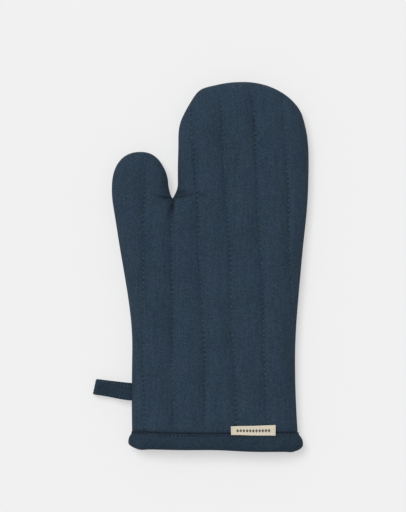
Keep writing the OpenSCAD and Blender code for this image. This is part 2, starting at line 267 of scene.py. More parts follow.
# %% The three grids
STRIP_CELLS = [12, 15, 15, 15, 15, 15, 9]
PALM_ROWS, FINGER_ROWS, THUMB_ROWS = 128, 60, 26
EDGE_CROWD, TIP_CROWD = 1.5, 1.25
CORNER = 0.92
HEM_START = 5.6
palm_columns = [thumb_side] + [lambda y, k=k: quilt_x(k, y) for k in range(5)] + [far_column, far_side]
crotch_column = sum(STRIP_CELLS[:2])


def crossing(x_of_y, y_of_x, guess):
    """Height where a column meets a line given as y for each x, by repeated substitution."""
    y = np.array([guess], float)
    for _ in range(30):
        y = y_of_x(x_of_y(y))
    return float(y[0])


def strip_shares(cells, rows, first, last, ease_in):
    """Shares across a strip, one line per row. They crowd towards the outline, where the panel curves down,
    in the first and last strips; a strip that starts inside the palm eases into it over its first rows."""
    even = spread(cells)
    crowded = spread(cells, EDGE_CROWD if first else 1, EDGE_CROWD if last else 1)
    ease = smooth(np.linspace(0, 5, rows + 1))[:, None] if ease_in else np.ones((rows + 1, 1))
    return even + (crowded - even) * ease


def grid_of(columns, ends, strips, rows, top_line=None, ease_in=()):
    """One Coons patch per strip between neighbouring columns, joined side by side. A Coons patch is the
    blend of its two sides, plus the blend of its bottom and top, less the blend of its four corners.
    columns give x for y, ends their lowest and highest y, and top_line the outline over x, or nothing for a
    straight top."""
    v = spread(rows, crowd_end=TIP_CROWD if top_line else 1)
    sides = [curve_of(column, low + (high - low) * v) for column, (low, high) in zip(columns, ends)]
    parts = []
    for k, strip in enumerate(strips):
        left, right = sides[k], sides[k + 1]
        shares = strip_shares(STRIP_CELLS[strip], rows, k == 0, k == len(strips) - 1, k in ease_in)
        bottom = left[0] + (right[0] - left[0]) * shares[0][:, None]
        top = left[-1] + (right[-1] - left[-1]) * shares[-1][:, None]
        if top_line:
            top[1:-1, 1] = top_line(top[1:-1, 0])
        f, w = shares[:, :, None], v[:, None, None]
        blend = (1 - f) * left[:, None] + f * right[:, None] + (1 - w) * bottom + w * top
        corners = (1 - w) * ((1 - f) * left[0] + f * right[0]) + w * ((1 - f) * left[-1] + f * right[-1])
        parts.append((blend - corners)[:, min(k, 1):])
    return np.concatenate(parts, 1)


def corner_y(top_line, mid, width):
    """Height of a round end's two corners, where its sides hand over to its top."""
    return [float(top_line(np.array([mid + side * CORNER * width / 2]))[0]) for side in (-1, 1)]


fold_y = [crossing(column, fold_line, crotch[1]) for column in palm_columns]
fold_y[2] = crotch[1]
palm = grid_of(palm_columns, [(HEM_START, y) for y in fold_y], range(7), PALM_ROWS)

finger_columns = [finger_left_x] + palm_columns[3:6] + [lambda y: quilt_x(5, y), finger_right_x]
finger_corner = corner_y(finger_top, finger_mid, FINGER_WIDTH)
finger_highs = [crossing(column, finger_top, mitt_length - 10) for column in finger_columns[1:5]]
finger_ends = [(crotch[1], y) for y in [finger_corner[0], *finger_highs, finger_corner[1]]]
fingers = grid_of(finger_columns, finger_ends, range(2, 7), FINGER_ROWS, finger_top, ease_in=(0,))

thumb_columns = [thumb_left_x, palm_columns[1], thumb_right_x]
thumb_corner = corner_y(thumb_top, thumb_mid, THUMB_WIDTH)
thumb_high = crossing(palm_columns[1], thumb_top, thumb_tip - 4)
thumb_ends = list(zip(fold_y[:3], [thumb_corner[0], thumb_high, thumb_corner[1]]))
thumb = grid_of(thumb_columns, thumb_ends, range(2), THUMB_ROWS, thumb_top, ease_in=(1,))
print("palm", palm.shape, "fingers", fingers.shape, "thumb", thumb.shape)

# %% One mesh from three grids
# Each nudge is a place, x and y, a shift across and up, and its reach.
NUDGES = [(-13, 331, -1.1, 1.7, 10), (-28, 315, 1.3, -0.7, 13), (84, 298, -2.1, -0.4, 16)]
NUDGES += [(-49, 261, -1.7, 0, 13), (-94, 238, -1.3, -0.8, 18), (-77, 50, -0.7, 0, 45)]
NUDGES += [(-44.5, 247, -0.9, 0, 9), (-39, 234, -1.2, 0, 8), (84, 190, -0.7, 0, 32), (87, 258, -0.6, 0, 30)]


def hand_cut(points):
    """Moves points a little where the scissors strayed from the line: a shift times exp(-(d / r)^2)."""
    moved = points.copy()
    for x, y, across, up, reach in NUDGES:
        weight = np.exp(-(((points - [x, y]) / reach) ** 2).sum(-1, keepdims=True))
        moved += weight * [across, up]
    return moved


def numbered(first, shape):
    """Point numbers of a new grid, row by row, from the first free number."""
    return np.arange(first, first + shape[0] * shape[1]).reshape(shape)


def quads_of(ids):
    """Four-sided faces of a grid of point numbers, anticlockwise seen from above."""
    return np.stack([ids[:-1, :-1], ids[:-1, 1:], ids[1:, 1:], ids[1:, :-1]], -1).reshape(-1, 4)


palm_ids = numbered(0, palm.shape[:2])
finger_new = numbered(palm_ids.max() + 1, fingers[1:].shape[:2])
finger_ids = np.concatenate([palm_ids[-1:, crotch_column:], finger_new])
thumb_new = numbered(finger_new.max() + 1, thumb[1:].shape[:2])
thumb_ids = np.concatenate([palm_ids[-1:, : crotch_column + 1], thumb_new])
flat = hand_cut(np.concatenate([grid.reshape(-1, 2) for grid in (palm, fingers[1:], thumb[1:])]))
main_quads = np.concatenate([quads_of(palm_ids), quads_of(finger_ids)])
thumb_quads = quads_of(thumb_ids)
thumb_rim = [thumb_new[:, 0], thumb_new[-1, 1:], thumb_new[-2::-1, -1]]
finger_rim = [finger_new[:, 0], finger_new[-1, 1:], finger_new[-2::-1, -1]]
crotch_id = palm_ids[-1:, crotch_column]
outline_ids = np.concatenate([palm_ids[:, 0], *thumb_rim, crotch_id, *finger_rim, palm_ids[::-1, -1]])
quilt_columns = np.cumsum(STRIP_CELLS)[:6]
print(len(flat), "points,", len(main_quads) + len(thumb_quads), "faces,", len(outline_ids), "on the outline")

# %% [markdown]
# ## The panel's swell
#
# Seen from the side, a stuffed pocket rises steeply from its seam and flattens towards the middle, like a
# quarter of an ellipse. The rise depends only on how far a point is from the outline, so the crotch, the
# thumb and the round ends all swell in the right way without being told apart. Rows of quilting then pull
# shallow channels in it.


# %% Distance to the outline, and swell
def distance_to(line, points):
    """Distance of every point to a chain of segments: the nearest of its distances to each one."""
    a, b = line[:-1], line[1:]
    ab = b - a
    nearest = np.full(len(points), np.inf)
    for chunk in np.array_split(np.arange(len(a)), 12):
        ap = points[:, None] - a[chunk]
        t = np.clip((ap * ab[chunk]).sum(-1) / (ab[chunk] ** 2).sum(-1), 0, 1)
        nearest = np.minimum(nearest, np.linalg.norm(ap - t[..., None] * ab[chunk], axis=-1).min(1))
    return nearest


def crown(u):
    """Quarter of an ellipse: 0 at the seam, 1 on top."""
    u = np.clip(u, 0, 1)
    return np.sqrt(1 - (1 - u) ** 2)


FRONT_ROUND, BACK_ROUND = 30.0, 18.0
SEAM_HALF = 0.25
CHANNEL_HALF = 13.0
HEM_FADE = 10.0
LAST_ROW_FROM, LAST_ROW_FADE = 125.0, 25.0
outline_gap = distance_to(flat[outline_ids], flat)


def row_strength(row, y):
    """How hard a row holds: fully, but row 1 ends at the crotch and the last row near the cuff."""
    strength = np.ones_like(y)
    if row == 1:
        strength = smooth((crotch[1] + 2 - y) / 6)
    if row == 5:
        strength = smooth((y - LAST_ROW_FROM) / LAST_ROW_FADE)
    return strength


def row_gap(points):
    """Distance across to the nearest row of quilting, counted longer where that row holds weakly."""
    x, y = points[:, 0], points[:, 1]
    gaps = [np.abs(x - quilt_x(row, y)) + 2 * CHANNEL_HALF * (1 - row_strength(row, y)) for row in range(6)]
    return np.min(gaps, 0)


def swell(points, gap, side, channel):
    """Height of a panel: seam, plus the crown of the distance to the outline, less a parabola of the
    distance to the nearest row. The hem under the binding is pressed thinner."""
    half = thickness / 2 - SEAM_HALF
    hem = BIND_THICK * (1 - smooth((points[:, 1] - bind_top) / HEM_FADE))
    rise = crown(gap / (FRONT_ROUND if side > 0 else BACK_ROUND))
    dip = (1 - np.minimum(row_gap(points) / CHANNEL_HALF, 1)) ** 2
    hem_free = 0.35 + 0.65 * smooth((points[:, 1] - bind_top) / 12)
    return seam_z + side * (SEAM_HALF + (half - hem) * rise - channel * dip * rise**2 * hem_free)


# %% [markdown]
# ## Puffing the cloth
#
# Real quilting puckers because the batting pushes the cloth up between rows of stitches that won't give.
# The cloth simulation does the same: the outline, the rows and the hem are held, the cloth gets a little
# more length than its pattern, and air pressure lifts it. It runs at ten times life size, where the solver
# is at its best.

# %% Cloth simulation
SIM_SCALE = 10.0


def link(name, points, faces):
    """A new object from draft points and faces."""
    mesh = bpy.data.meshes.new(name)
    mesh.from_pydata(np.asarray(points).tolist(), [], [f.tolist() for f in faces])
    obj = bpy.data.objects.new(name, mesh)
    bpy.context.scene.collection.objects.link(obj)
    return obj


def puff(points, quads, held, pressure, extra, frames):
    """The points after a cloth simulation in which the held ones stay, each thread is longer by the share
    extra, and pressure lifts the cloth along its normals."""
    obj = link("cloth_trial", points * MM * SIM_SCALE, quads)
    group = obj.vertex_groups.new(name="held")
    for weight in np.unique(held[held > 0]):
        group.add(np.nonzero(held == weight)[0].tolist(), float(weight), "REPLACE")
    cloth = obj.modifiers.new("cloth", "CLOTH")
    settings = cloth.settings
    settings.quality = 5
    settings.mass = 0.3
    settings.vertex_group_mass = "held"
    settings.tension_stiffness = settings.compression_stiffness = 15
    settings.shear_stiffness = 5
    settings.bending_stiffness = 4
    settings.shrink_min = -extra
    settings.use_pressure = True
    settings.uniform_pressure_force = pressure
    settings.effector_weights.gravity = 0
    cloth.collision_settings.use_collision = False
    scene = bpy.context.scene
    for step in range(1, frames + 1):
        scene.frame_set(step)
    done = obj.evaluated_get(bpy.context.evaluated_depsgraph_get())
    moved = np.empty(len(points) * 3)
    done.data.vertices.foreach_get("co", moved)
    bpy.data.objects.remove(obj)
    return moved.reshape(-1, 3) / (MM * SIM_SCALE)


# %% [markdown]
# ## A finer, smoother panel
#
# The simulation runs on a mesh of about two millimetres, which is quick. For its final surface every face
# is cut in four and the points are averaged once, which is what a Subdivision Surface modifier does. Doing
# it here keeps every array in step, so the stitches can be pressed in and the cloth can be given a
# thickness afterwards.


# %% Cutting faces in four
def halved(quads, count):
    """Cuts each face in four. The new points are numbered: the old ones, one per edge, one per face. Gives
    the new faces, each edge's two ends, which edges are on the rim, and each old face's four edge points."""
    sides = np.sort(np.stack([quads, np.roll(quads, -1, 1)], -1).reshape(-1, 2), 1)
    edges, which, uses = np.unique(sides, axis=0, return_inverse=True, return_counts=True)
    middle = count + which.reshape(-1, 4)
    centre = np.repeat((count + len(edges) + np.arange(len(quads)))[:, None], 4, 1)
    finer = np.stack([quads, middle, centre, np.roll(middle, 1, 1)], -1).reshape(-1, 4)
    return finer, edges, uses == 1, middle


def refined(values, quads, edges):
    """Values at the finer points: the old ones, then the mean at each edge, then at each face."""
    return np.concatenate([values, values[edges].mean(1), values[quads].mean(1)])


def gathered(values, corners, count):
    """Adds up each face's value at each of its corners, for every column of values."""
    each = corners.shape[1]
    return np.stack([np.bincount(corners.ravel(), np.repeat(v, each), count) for v in values.T], 1)


def averaged(points, quads, rim):
    """One smoothing pass: a point goes to the mean of its faces' centres, or of its edges on the rim."""
    inner = gathered(points[quads].mean(1), quads, len(points))
    inner /= np.bincount(quads.ravel(), minlength=len(points))[:, None]
    along = gathered(points[rim].mean(1), rim, len(points))
    uses = np.bincount(rim.ravel(), minlength=len(points))[:, None]
    return np.where(uses > 0, along / np.maximum(uses, 1), inner)


def normals_of(points, quads):
    """Unit normal at each point: the sum of its faces' cross products of diagonals, made one long."""
    across = points[quads[:, 2]] - points[quads[:, 0]]
    along = points[quads[:, 3]] - points[quads[:, 1]]
    total = gathered(np.cross(across, along), quads, len(points))
    return total / np.linalg.norm(total, axis=1, keepdims=True)


all_quads = np.concatenate([main_quads, thumb_quads])
fine_quads, edges, edge_on_rim, side_middle = halved(all_quads, len(flat))
edge_middle = len(flat) + np.arange(len(edges))
rim_edges = edges[edge_on_rim]
rim_middle = edge_middle[edge_on_rim]
fine_rim = np.concatenate([np.stack([rim_edges[:, k], rim_middle], 1) for k in (0, 1)])
fine_count = len(flat) + len(edges) + len(all_quads)
print("finer panel:", fine_count, "points,", len(fine_quads), "faces")

# %% [markdown]
# ## Pulling in the stitches and the crotch
#
# A lockstitch pulls a narrow trench into quilting, deepest where the needle went through. The cloth also
# creases where the thumb meets the hand, because three curved pockets share one seam point there. Both are
# small, so they are pressed into the finer mesh by formula, after the simulation, and the shade in them is
# painted into the cloth's colour.

# %% Stitch trench and creases
TRENCH_DEPTH, TRENCH_WIDTH = 0.9, 0.95
QUILT_STARTS = np.array([bind_top - 1] * 5 + [128.0])
QUILT_ENDS = np.array([14, 5, 17, 8, 1, 12])
QUILT_TOPS = np.array([thumb_tip, crotch[1]] + [mitt_length] * 4) - QUILT_ENDS
# Each crease is a start beside the crotch, its run across and up, its depth and its width.
CREASES = [(-1, 0, -18, 2.4, 1.9, 1.1), (-1, -1, -5, -4, 0.7, 1.0), (-0.7, -0.6, -0.8, -15, 2.1, 0.9)]
CREASES += [(-2, -6, -3, -20, 1.1, 2.4), (1, 0.6, 22, 3.6, 1.5, 1.0), (3, 5, 16, 0.5, 1.4, 3.0)]
CREASES += [(24, 3.5, 6, -4, 1.0, 2.4)]
CUFF_EDGE = 19.3


def row_reach(row, y):
    """1 where a row is sewn, fading to 0 over its last few stitches."""
    return smooth((y - QUILT_STARTS[row]) / 5) * smooth((QUILT_TOPS[row] - y) / 12)


def tension(row, y):
    """How tight the thread is, from about 0.4 to 1, drifting along the row as two slow waves."""
    return 0.72 + 0.2 * np.sin(y / 26 + 2.3 * row) + 0.1 * np.sin(y / 8.5 + 1.1 * row)


def needle_wave(length, pitch):
    """1 at every needle hole and 0 halfway between: the square of (1 + cos(2 pi s / pitch)) / 2."""
    return (0.5 + 0.5 * np.cos(2 * np.pi * length / pitch)) ** 2


def quilt_needle(y):
    """Share of the trench's depth along a row: all of it at the needle holes, a third between them."""
    return 0.35 + 0.65 * needle_wave(y, STITCH)


def stitch_pull(points):
    """How deep the rows pull, from 0 to 1: a bell across each, times needle holes and thread tension."""
    x, y = points[:, 0], points[:, 1]
    across = [bell(x - quilt_x(row, y), TRENCH_WIDTH) for row in range(6)]
    bells = [across[row] * row_reach(row, y) * tension(row, y) for row in range(6)]
    return np.max(bells, 0) * quilt_needle(y)


def crease_pull(points):
    """Depth in millimetres of the creases round the crotch. Each is a bell across a segment that starts at
    full depth and fades along it as 1 - t^2."""
    total = np.zeros(len(points))
    for start_x, start_y, across, up, depth, width in CREASES:
        line = np.array([across, up])
        from_start = points[:, :2] - crotch - [start_x, start_y]
        t = np.clip(from_start @ line / (line @ line), 0, 1)
        gap = np.linalg.norm(from_start - t[:, None] * line, axis=1)
        total += depth * (1 - t**2) * bell(gap, width)
    return total


def cuff_drift(x, y):
    """How far the cuff's strip strays, since it was sewn by eye: its top edge dips in the middle, and its
    bottom edge slants and has two lobes."""
    top = -1.3 + 1.8 * smooth((-x - 25) / 50) + 0.9 * smooth((x - 35) / 30) + 0.12 * np.sin(x / 6.3)
    lobes = 0.8 * bell(x + 69, 5) + 0.5 * bell(x - 69, 3.5)
    bottom = 2.3 - 0.019 * x - lobes + 0.15 * np.sin(x / 9 + 1) + 0.7 * bell(x + 8, 26)
    return top * smooth((y - 10) / 8) + bottom * (1 - smooth(y / 14))


def cuff_pinch(points):
    """How much the strip's edge presses the cloth above it: a bell, 0.3 mm over that edge. It also sets a
    painted shadow along that edge.
    """
    over = points[:, 1] - CUFF_EDGE - cuff_drift(points[:, 0], CUFF_EDGE)
    return bell(over - 0.3, 1.1)


# %% [markdown]
# ## What stays put
#
# Points on the outline, under the binding and along the rows are held while the cloth is puffed. Where a
# row holds weakly, so do its points.

# %% What the simulation holds
HEM_ROWS = 8
held = np.zeros(len(flat))
held[outline_ids] = 1
held[palm_ids[:HEM_ROWS]] = 1
for row, column in enumerate(quilt_columns):
    along = [palm_ids[:, column]]
    along += [thumb_new[:, column]] if row == 0 else []
    along += [finger_new[:, column - crotch_column]] if row > 1 else []
    along = np.concatenate(along)
    held[along] = np.maximum(held[along], np.round(row_strength(row, flat[along, 1]), 1))

# %% [markdown]
# ## Cloth coordinates
#
# A weave has to follow the cloth, so each point also remembers where it was on the flat cloth: how far it
# is along the surface from one upright thread, and how far up from the cuff. These two lengths become the
# UV map.


# %% Lengths along the cloth
def run_along(points, axis, start):
    """Length along one axis of a grid, counted from its line number start."""
    steps = np.linalg.norm(np.diff(points, axis=axis), axis=-1)
    run = np.concatenate([np.zeros_like(np.take(steps, [0], axis)), np.cumsum(steps, axis)], axis)
    return run - np.take(run, [start], axis)


def cloth_lengths(points):
    """Across and up lengths of a panel's points, continued from the palm into fingers and thumb."""
    middle, side = quilt_columns[2], quilt_columns[0]
    palm_across = run_along(points[palm_ids], 1, middle) + flat[palm_ids[:, middle], 0][:, None]
    palm_up = run_along(points[palm_ids], 0, 0)
    across, up = np.zeros(len(points)), np.zeros(len(points))
    across[palm_ids], up[palm_ids] = palm_across, palm_up
    for ids, line, base in ((finger_ids, middle - crotch_column, crotch_column), (thumb_ids, side, 0)):
        start = palm_across[-1, line + base] - flat[ids[0, line], 0]
        across[ids] = run_along(points[ids], 1, line) + (flat[ids[:, line], 0] + start)[:, None]
        up[ids] = run_along(points[ids], 0, 0) + palm_up[-1, base : base + ids.shape[1]]
    return np.stack([across, up], 1)


# %% Puff both panels
PUFF_ROOM = 0.9
PUFF_CAP = 3.2
CLOTH_GAP = 0.05
CHANNELS = {1: 2.0, -1: 1.5}


def base_panel(points, gap, side):
    """The panel before puffing: the swell, lowered a little to leave it room, with a slow wander."""
    x, y = points.T
    z = swell(points, gap, side, CHANNELS[side])
    free = smooth((y - bind_top) / 30) * crown(gap / FRONT_ROUND)
    wander = 0.35 * np.sin(x / 19 + y / 41 + side) + 0.3 * np.sin(x / 11 - y / 29) + 0.25 * np.sin(y / 17 + 2)
    return np.column_stack([x, y, z - side * free * (PUFF_ROOM - wander)])


def puffed_panel(side):
    """One panel after the simulation, each point kept within a few millimetres of where it started."""
    start = base_panel(flat, outline_gap, side)
    quads = all_quads if side > 0 else all_quads[:, ::-1]
    done = puff(start, quads, held, pressure=30, extra=0.008, frames=20)
    move = done - start
    length = np.linalg.norm(move, axis=1, keepdims=True)
    done = start + move * np.minimum(1, PUFF_CAP / np.maximum(length, 1e-9))
    done[:, 2] = np.maximum(done[:, 2], CLOTH_GAP)
    return done


panels = {side: puffed_panel(side) for side in (1, -1)}
print("panels from", round(panels[-1][:, 2].min(), 2), "to", round(panels[1][:, 2].max(), 2), "mm high")

# %% [markdown]
# ## Shader maths in Python
#
# A finish is a small sum: some noise, a wave or two, a mix of two colours. Written as Python it reads like
# one. A Wire stands for one socket; adding or multiplying Wires adds the Math nodes, and `node` adds any
# other kind.


# %% The Wire class
class Wire:
    """One output of a shader node. Operators on it add Math nodes, node() adds any other kind."""

    def __init__(self, tree, owner=None, output=0):
        self.tree, self.owner, self.output = tree, owner, output

    def node(self, kind, sockets=None, output=0, **settings):
        """A new node: its settings, then each socket's value or link."""
        made = self.tree.nodes.new("ShaderNode" + kind)
        for name, value in settings.items():
            setattr(made, name, value)
        for key, value in (sockets or {}).items():
            if isinstance(value, Wire):
                self.tree.links.new(value.owner.outputs[value.output], made.inputs[key])
            else:
                made.inputs[key].default_value = value
        return Wire(self.tree, made, output)

    def other(self, output):
        """Another output of the same node."""
        return Wire(self.tree, self.owner, output)

    def math(self, operation, *values):
        """A Math node on these values."""
        return self.node("Math", dict(enumerate(values)), operation=operation)

    def __add__(self, value):
        return self.math("ADD", self, value)

    def __sub__(self, value):
        return self.math("SUBTRACT", self, value)

    def __rsub__(self, value):
        return self.math("SUBTRACT", value, self)

    def __mul__(self, value):
        return self.math("MULTIPLY", self, value)

    __radd__ = __add__
    __rmul__ = __mul__

    def math_of(self, operation, *values):
        """A Math node on this value and the others."""
        return self.math(operation, self, *values)

    def wave(self, period):
        """sin(2 pi x / period)"""
        return (self * (2 * np.pi / period)).math_of("SINE")

    def clamped(self):
        """This value, kept from 0 to 1."""
        return self.node("Clamp", {0: self})

    def mix(self, dark, light):
        """A colour from dark to light, by this value."""
        return self.node("Mix", {0: self, 6: dark, 7: light}, output=2, data_type="RGBA")

    def into(self, shader, socket):
        """Links this value to one of the shader's sockets."""
        self.tree.links.new(self.owner.outputs[self.output], shader.inputs[socket])


def new_finish(name, constants):
    """A material with one Principled shader, and what is the same all over set on its sockets."""
    material = bpy.data.materials.new(name)
    material.use_nodes = True
    shader = material.node_tree.nodes["Principled BSDF"]
    for socket, value in constants.items():
        shader.inputs[socket].default_value = value
    return material, Wire(material.node_tree), shader


# %% [markdown]
# ## Cloth finishes
#
# Seen close, the mitt's cloth is a plain weave of half-millimetre yarns. From further off the yarns blur
# into fine specks and faint upright streaks, because warp yarns vary in thickness, and handling leaves slow
# cloudy changes. One function makes every cloth here, from its two colours, its yarn and how strong each of
# those is.

# %% Woven cloth
UV_LENGTH = 100.0


def lengths(tree):
    """The two lengths along the cloth, in millimetres, from its UV map."""
    apart = tree.node("SeparateXYZ", {0: tree.node("UVMap", uv_map="cloth")})
    return apart * UV_LENGTH, apart.other(1) * UV_LENGTH


def spots(tree, across, up, wide, tall, seed=0.0, detail=2.0):
    """Smooth noise whose spots are wide by tall millimetres, centred on zero."""
    place = tree.node("CombineXYZ", {0: across * (1 / wide), 1: up * (1 / tall), 2: seed})
    return tree.node("TexNoise", {"Vector": place, "Scale": 1.0, "Detail": detail}) - 0.5


def rgb(red, green, blue):
    """A colour as shader sockets take it, with full alpha."""
    return (red, green, blue, 1.0)


BLUER, GREENER = rgb(0.98, 0.98, 1.06), rgb(1.0, 1.04, 0.96)
IN_THE_SHADE = rgb(0.004, 0.007, 0.012)


def tinted(colour, tint):
    """A colour times a tint, channel by channel."""
    return tuple(a * b for a, b in zip(colour, tint))


def woven(name, dark, light, yarn=0.5, streak=0.7, relief=0.35, marked=False):
    """A cloth: shade = 0.5 + streaks + specks + clouds + weave, mixed from dark to light, in a dye that
    drifts from bluer to greener. Where marked, stitch holes and creases get painted shade: their colour is
    mixed towards IN_THE_SHADE."""
    constants = {"Sheen Weight": 0.03, "Sheen Roughness": 0.45, "Specular IOR Level": 0.15}
    material, tree, shader = new_finish(name, constants)
    across, up = lengths(tree)
    weave = across.wave(2 * yarn) * up.wave(2 * yarn)
    streaks = spots(tree, across, up, 0.9, 16.0, 3.1) + 0.6 * spots(tree, across, up, 3.2, 40.0, 8.3)
    specks = spots(tree, across, up, 1.25, 1.25, 5.7, 3.0)
    clouds = spots(tree, across, up, 26.0, 34.0, 1.9)
    shade = 0.5 + streak * streaks + 2.2 * specks + 0.45 * clouds + 0.12 * weave
    dye = (0.5 + 1.6 * spots(tree, across, up, 15.0, 22.0, 6.6)).clamped()
    bluer, greener = [
        shade.clamped().mix(tinted(dark, dyed), tinted(light, dyed)) for dyed in (BLUER, GREENER)
    ]
    colour = dye.mix(bluer, greener)
    if marked:
        # Painted shade: needle holes and creases are darkened in the cloth's colour, standing in for the shade
        # in those recesses.
        holes = tree.node("Attribute", {}, 2, attribute_name="stitch_hole_shade")
        creases = tree.node("Attribute", {}, 2, attribute_name="crease")
        painted_shade = (0.75 * holes + 0.7 * creases).clamped()
        colour = painted_shade.mix(colour, IN_THE_SHADE)
    colour.into(shader, "Base Color")
    (0.9 - 0.12 * shade.clamped()).into(shader, "Roughness")
    height = 0.5 * weave + 1.2 * specks + 0.6 * streaks
    tree.node("Bump", {"Height": height, "Strength": relief, "Distance": 0.0002}).into(shader, "Normal")
    return material


NAVY_DARK, NAVY_LIGHT = rgb(0.0158, 0.0302, 0.0486), rgb(0.0352, 0.061, 0.0942)
BINDING_DARK, BINDING_LIGHT = rgb(0.0122, 0.0248, 0.0395), rgb(0.0265, 0.048, 0.0745)
TAPE_DARK, TAPE_LIGHT = rgb(0.0118, 0.023, 0.0375), rgb(0.0245, 0.044, 0.069)
LINING_DARK, LINING_LIGHT = rgb(0.045, 0.06, 0.078), rgb(0.09, 0.115, 0.14)
outer_finish = woven("slate_navy_cotton", NAVY_DARK, NAVY_LIGHT, marked=True)
binding_finish = woven("navy_bias_binding", BINDING_DARK, BINDING_LIGHT, marked=True)
tape_finish = woven("navy_loop_tape", TAPE_DARK, TAPE_LIGHT, yarn=0.4, marked=True)
lining_finish = woven("slate_lining", LINING_DARK, LINING_LIGHT, yarn=0.35, streak=0.6)
seam_finish = woven("navy_seam_edge", NAVY_DARK, NAVY_LIGHT, relief=0.5)
print("cloth finishes:", [m.name for m in bpy.data.materials])


# %% Batting and thread
def needled_batting():
    """Off-white wadding: crossing fibres as two sizes of stretched noise, in the mitt's own place."""
    material, tree, shader = new_finish("white_batting", {"Roughness": 0.95, "Sheen Weight": 0.3})
    place = tree.node("TexCoord", {}, "Object")
    felt = tree.node("TexNoise", {"Vector": place, "Scale": 900.0, "Detail": 4.0})
    clump = tree.node("TexNoise", {"Vector": place, "Scale": 120.0, "Detail": 2.0})
    fibres = tree.node("TexNoise", {"Vector": place, "Scale": 2400.0, "Distortion": 2.0})
    shade = (0.5 + 0.9 * (felt - 0.5) + 0.6 * (clump - 0.5)).clamped()
    shade.mix(rgb(0.62, 0.59, 0.52), rgb(0.83, 0.81, 0.76)).into(shader, "Base Color")
    tree.node("Bump", {"Height": felt + fibres, "Strength": 0.6, "Distance": 0.0004}).into(shader, "Normal")
    return material


def twisted_thread(name, dark, light):
    """Two-ply thread: slanting bands, sin(along + around), with fine fuzz, and some stitches paler."""
    material, tree, shader = new_finish(name, {"Sheen Weight": 0.05, "Specular IOR Level": 0.2})
    along, around = lengths(tree)
    ply = (along + around).wave(0.55)
    fuzz = spots(tree, along, around, 0.15, 0.15, 4.4, 3.0)
    place = tree.node("TexCoord", {}, "Object")
    wear = tree.node("TexNoise", {"Vector": place, "Scale": 150.0, "Detail": 1.0}) - 0.5
    (0.45 + 0.3 * ply + 0.5 * fuzz + 2.0 * wear).clamped().mix(dark, light).into(shader, "Base Color")
    (0.62 - 0.1 * ply).into(shader, "Roughness")
    tree.node("Bump", {"Height": ply + fuzz, "Strength": 0.5, "Distance": 0.00015}).into(shader, "Normal")
    return material


batting_finish = needled_batting()
quilt_thread_finish = twisted_thread("slate_thread", rgb(0.022, 0.04, 0.06), rgb(0.08, 0.13, 0.18))
cuff_thread_finish = twisted_thread("navy_thread", rgb(0.016, 0.03, 0.046), rgb(0.062, 0.1, 0.135))
label_thread_finish = twisted_thread("cream_thread", rgb(0.55, 0.5, 0.4), rgb(0.72, 0.68, 0.57))

# %% [markdown]
# ## Making a piece
#
# Every piece is made the same way: its points go from draft millimetres to the model's metres, its UV map
# and marks are written point by point, and it is shaded smooth. Its object stays at the origin, unturned
# and unscaled.


# %% Piece maker
def compact(faces, *values):
    """Drops the points that no face uses, and renumbers the rest."""
    sizes = np.array([len(face) for face in faces])
    used, numbers = np.unique(np.concatenate([np.ravel(face) for face in faces]), return_inverse=True)
    return np.split(numbers, np.cumsum(sizes)[:-1]), *[value[used] for value in values]


def finished(name, points, faces, finish, stands_for, uv=None, marks=None, normals=None):
    """A shown piece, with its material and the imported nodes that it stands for."""
    mesh = bpy.data.meshes.new(name)
    mesh.from_pydata(to_metres(points).tolist(), [], [np.ravel(face).tolist() for face in faces])
    corner_points = np.empty(len(mesh.loops), int)
    mesh.loops.foreach_get("vertex_index", corner_points)
    if uv is not None:
        layer = mesh.uv_layers.new(name="cloth")
        layer.data.foreach_set("uv", (uv[corner_points] / UV_LENGTH).astype(np.float32).ravel())
    for mark, values in (marks or {}).items():
        attribute = mesh.attributes.new(mark, "FLOAT", "POINT")
        attribute.data.foreach_set("value", values.astype(np.float32))
    mesh.materials.append(finish)
    mesh.shade_smooth()
    if normals is not None:
        mesh.normals_split_custom_set_from_vertices(normals.astype(np.float32).tolist())
    obj = bpy.data.objects.new(name, mesh)
    bpy.context.scene.collection.objects.link(obj)
    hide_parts(*stands_for)
    return obj


def bends_to_fingers(obj):
    """Puts the main part's placement into its points; nothing here bends it."""
    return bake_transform(obj)


def bends_to_thumb(obj):
    """Puts the thumb part's placement into its points; nothing here bends it."""
    middle = np.array([thumb_mid, fold_line(thumb_mid), thickness])
    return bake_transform(obj)


PARTS = {
    "main": (slice(0, len(main_quads)), ("hand", "fingers"), bends_to_fingers),
    "thumb": (slice(len(main_quads), None), ("thumb",), bends_to_thumb),
}

# %% [markdown]
# ## The quilted cloth
#
# Each panel's outer cloth is 0.8 mm thick: a fine outer face with the stitch trenches in it, a plainer
# inner face, and a wall that joins them round every edge. The thumb is cut off at its fold. Both parts
# keep the normals of the whole panel, so the cut can't be seen.

# %% Panel shells
OUTER_THICK = 0.8
BACK_CREASE = 0.6
SIDE_NAMES = {1: "front", -1: "back"}


def fine_panel(side):
    """The finer panel, its painted-shade marks and its cloth lengths. The trenches and creases are pressed in
    along z.
    """
    panel = panels[side]
    lined = averaged(refined(panel, all_quads, edges), fine_quads, fine_rim)
    pull = stitch_pull(lined)
    crease = crease_pull(lined) * (1.0 if side > 0 else BACK_CREASE)
    pinch = cuff_pinch(lined)
    free = np.minimum(1, refined(outline_gap[:, None], all_quads, edges)[:, 0] / 2.5)
    pressed = lined.copy()
    pressed[:, 2] -= side * (TRENCH_DEPTH * pull + crease * (0.15 + 0.85 * free) + 0.5 * pinch)
    pressed[:, 2] = np.maximum(pressed[:, 2], CLOTH_GAP)
    # Painted shade: the creases, and a painted shadow line just above the strip's edge, are darkened in the
    # cloth's colour; so are the needle holes.
    crease_shade = np.clip(np.maximum(crease / 2.2, 0.95 * pinch), 0, 1)
    marks = {"stitch_hole_shade": np.clip(pull * 1.6 - 0.6, 0, 1), "crease": crease_shade}
    return pressed, marks, refined(cloth_lengths(panel), all_quads, edges)


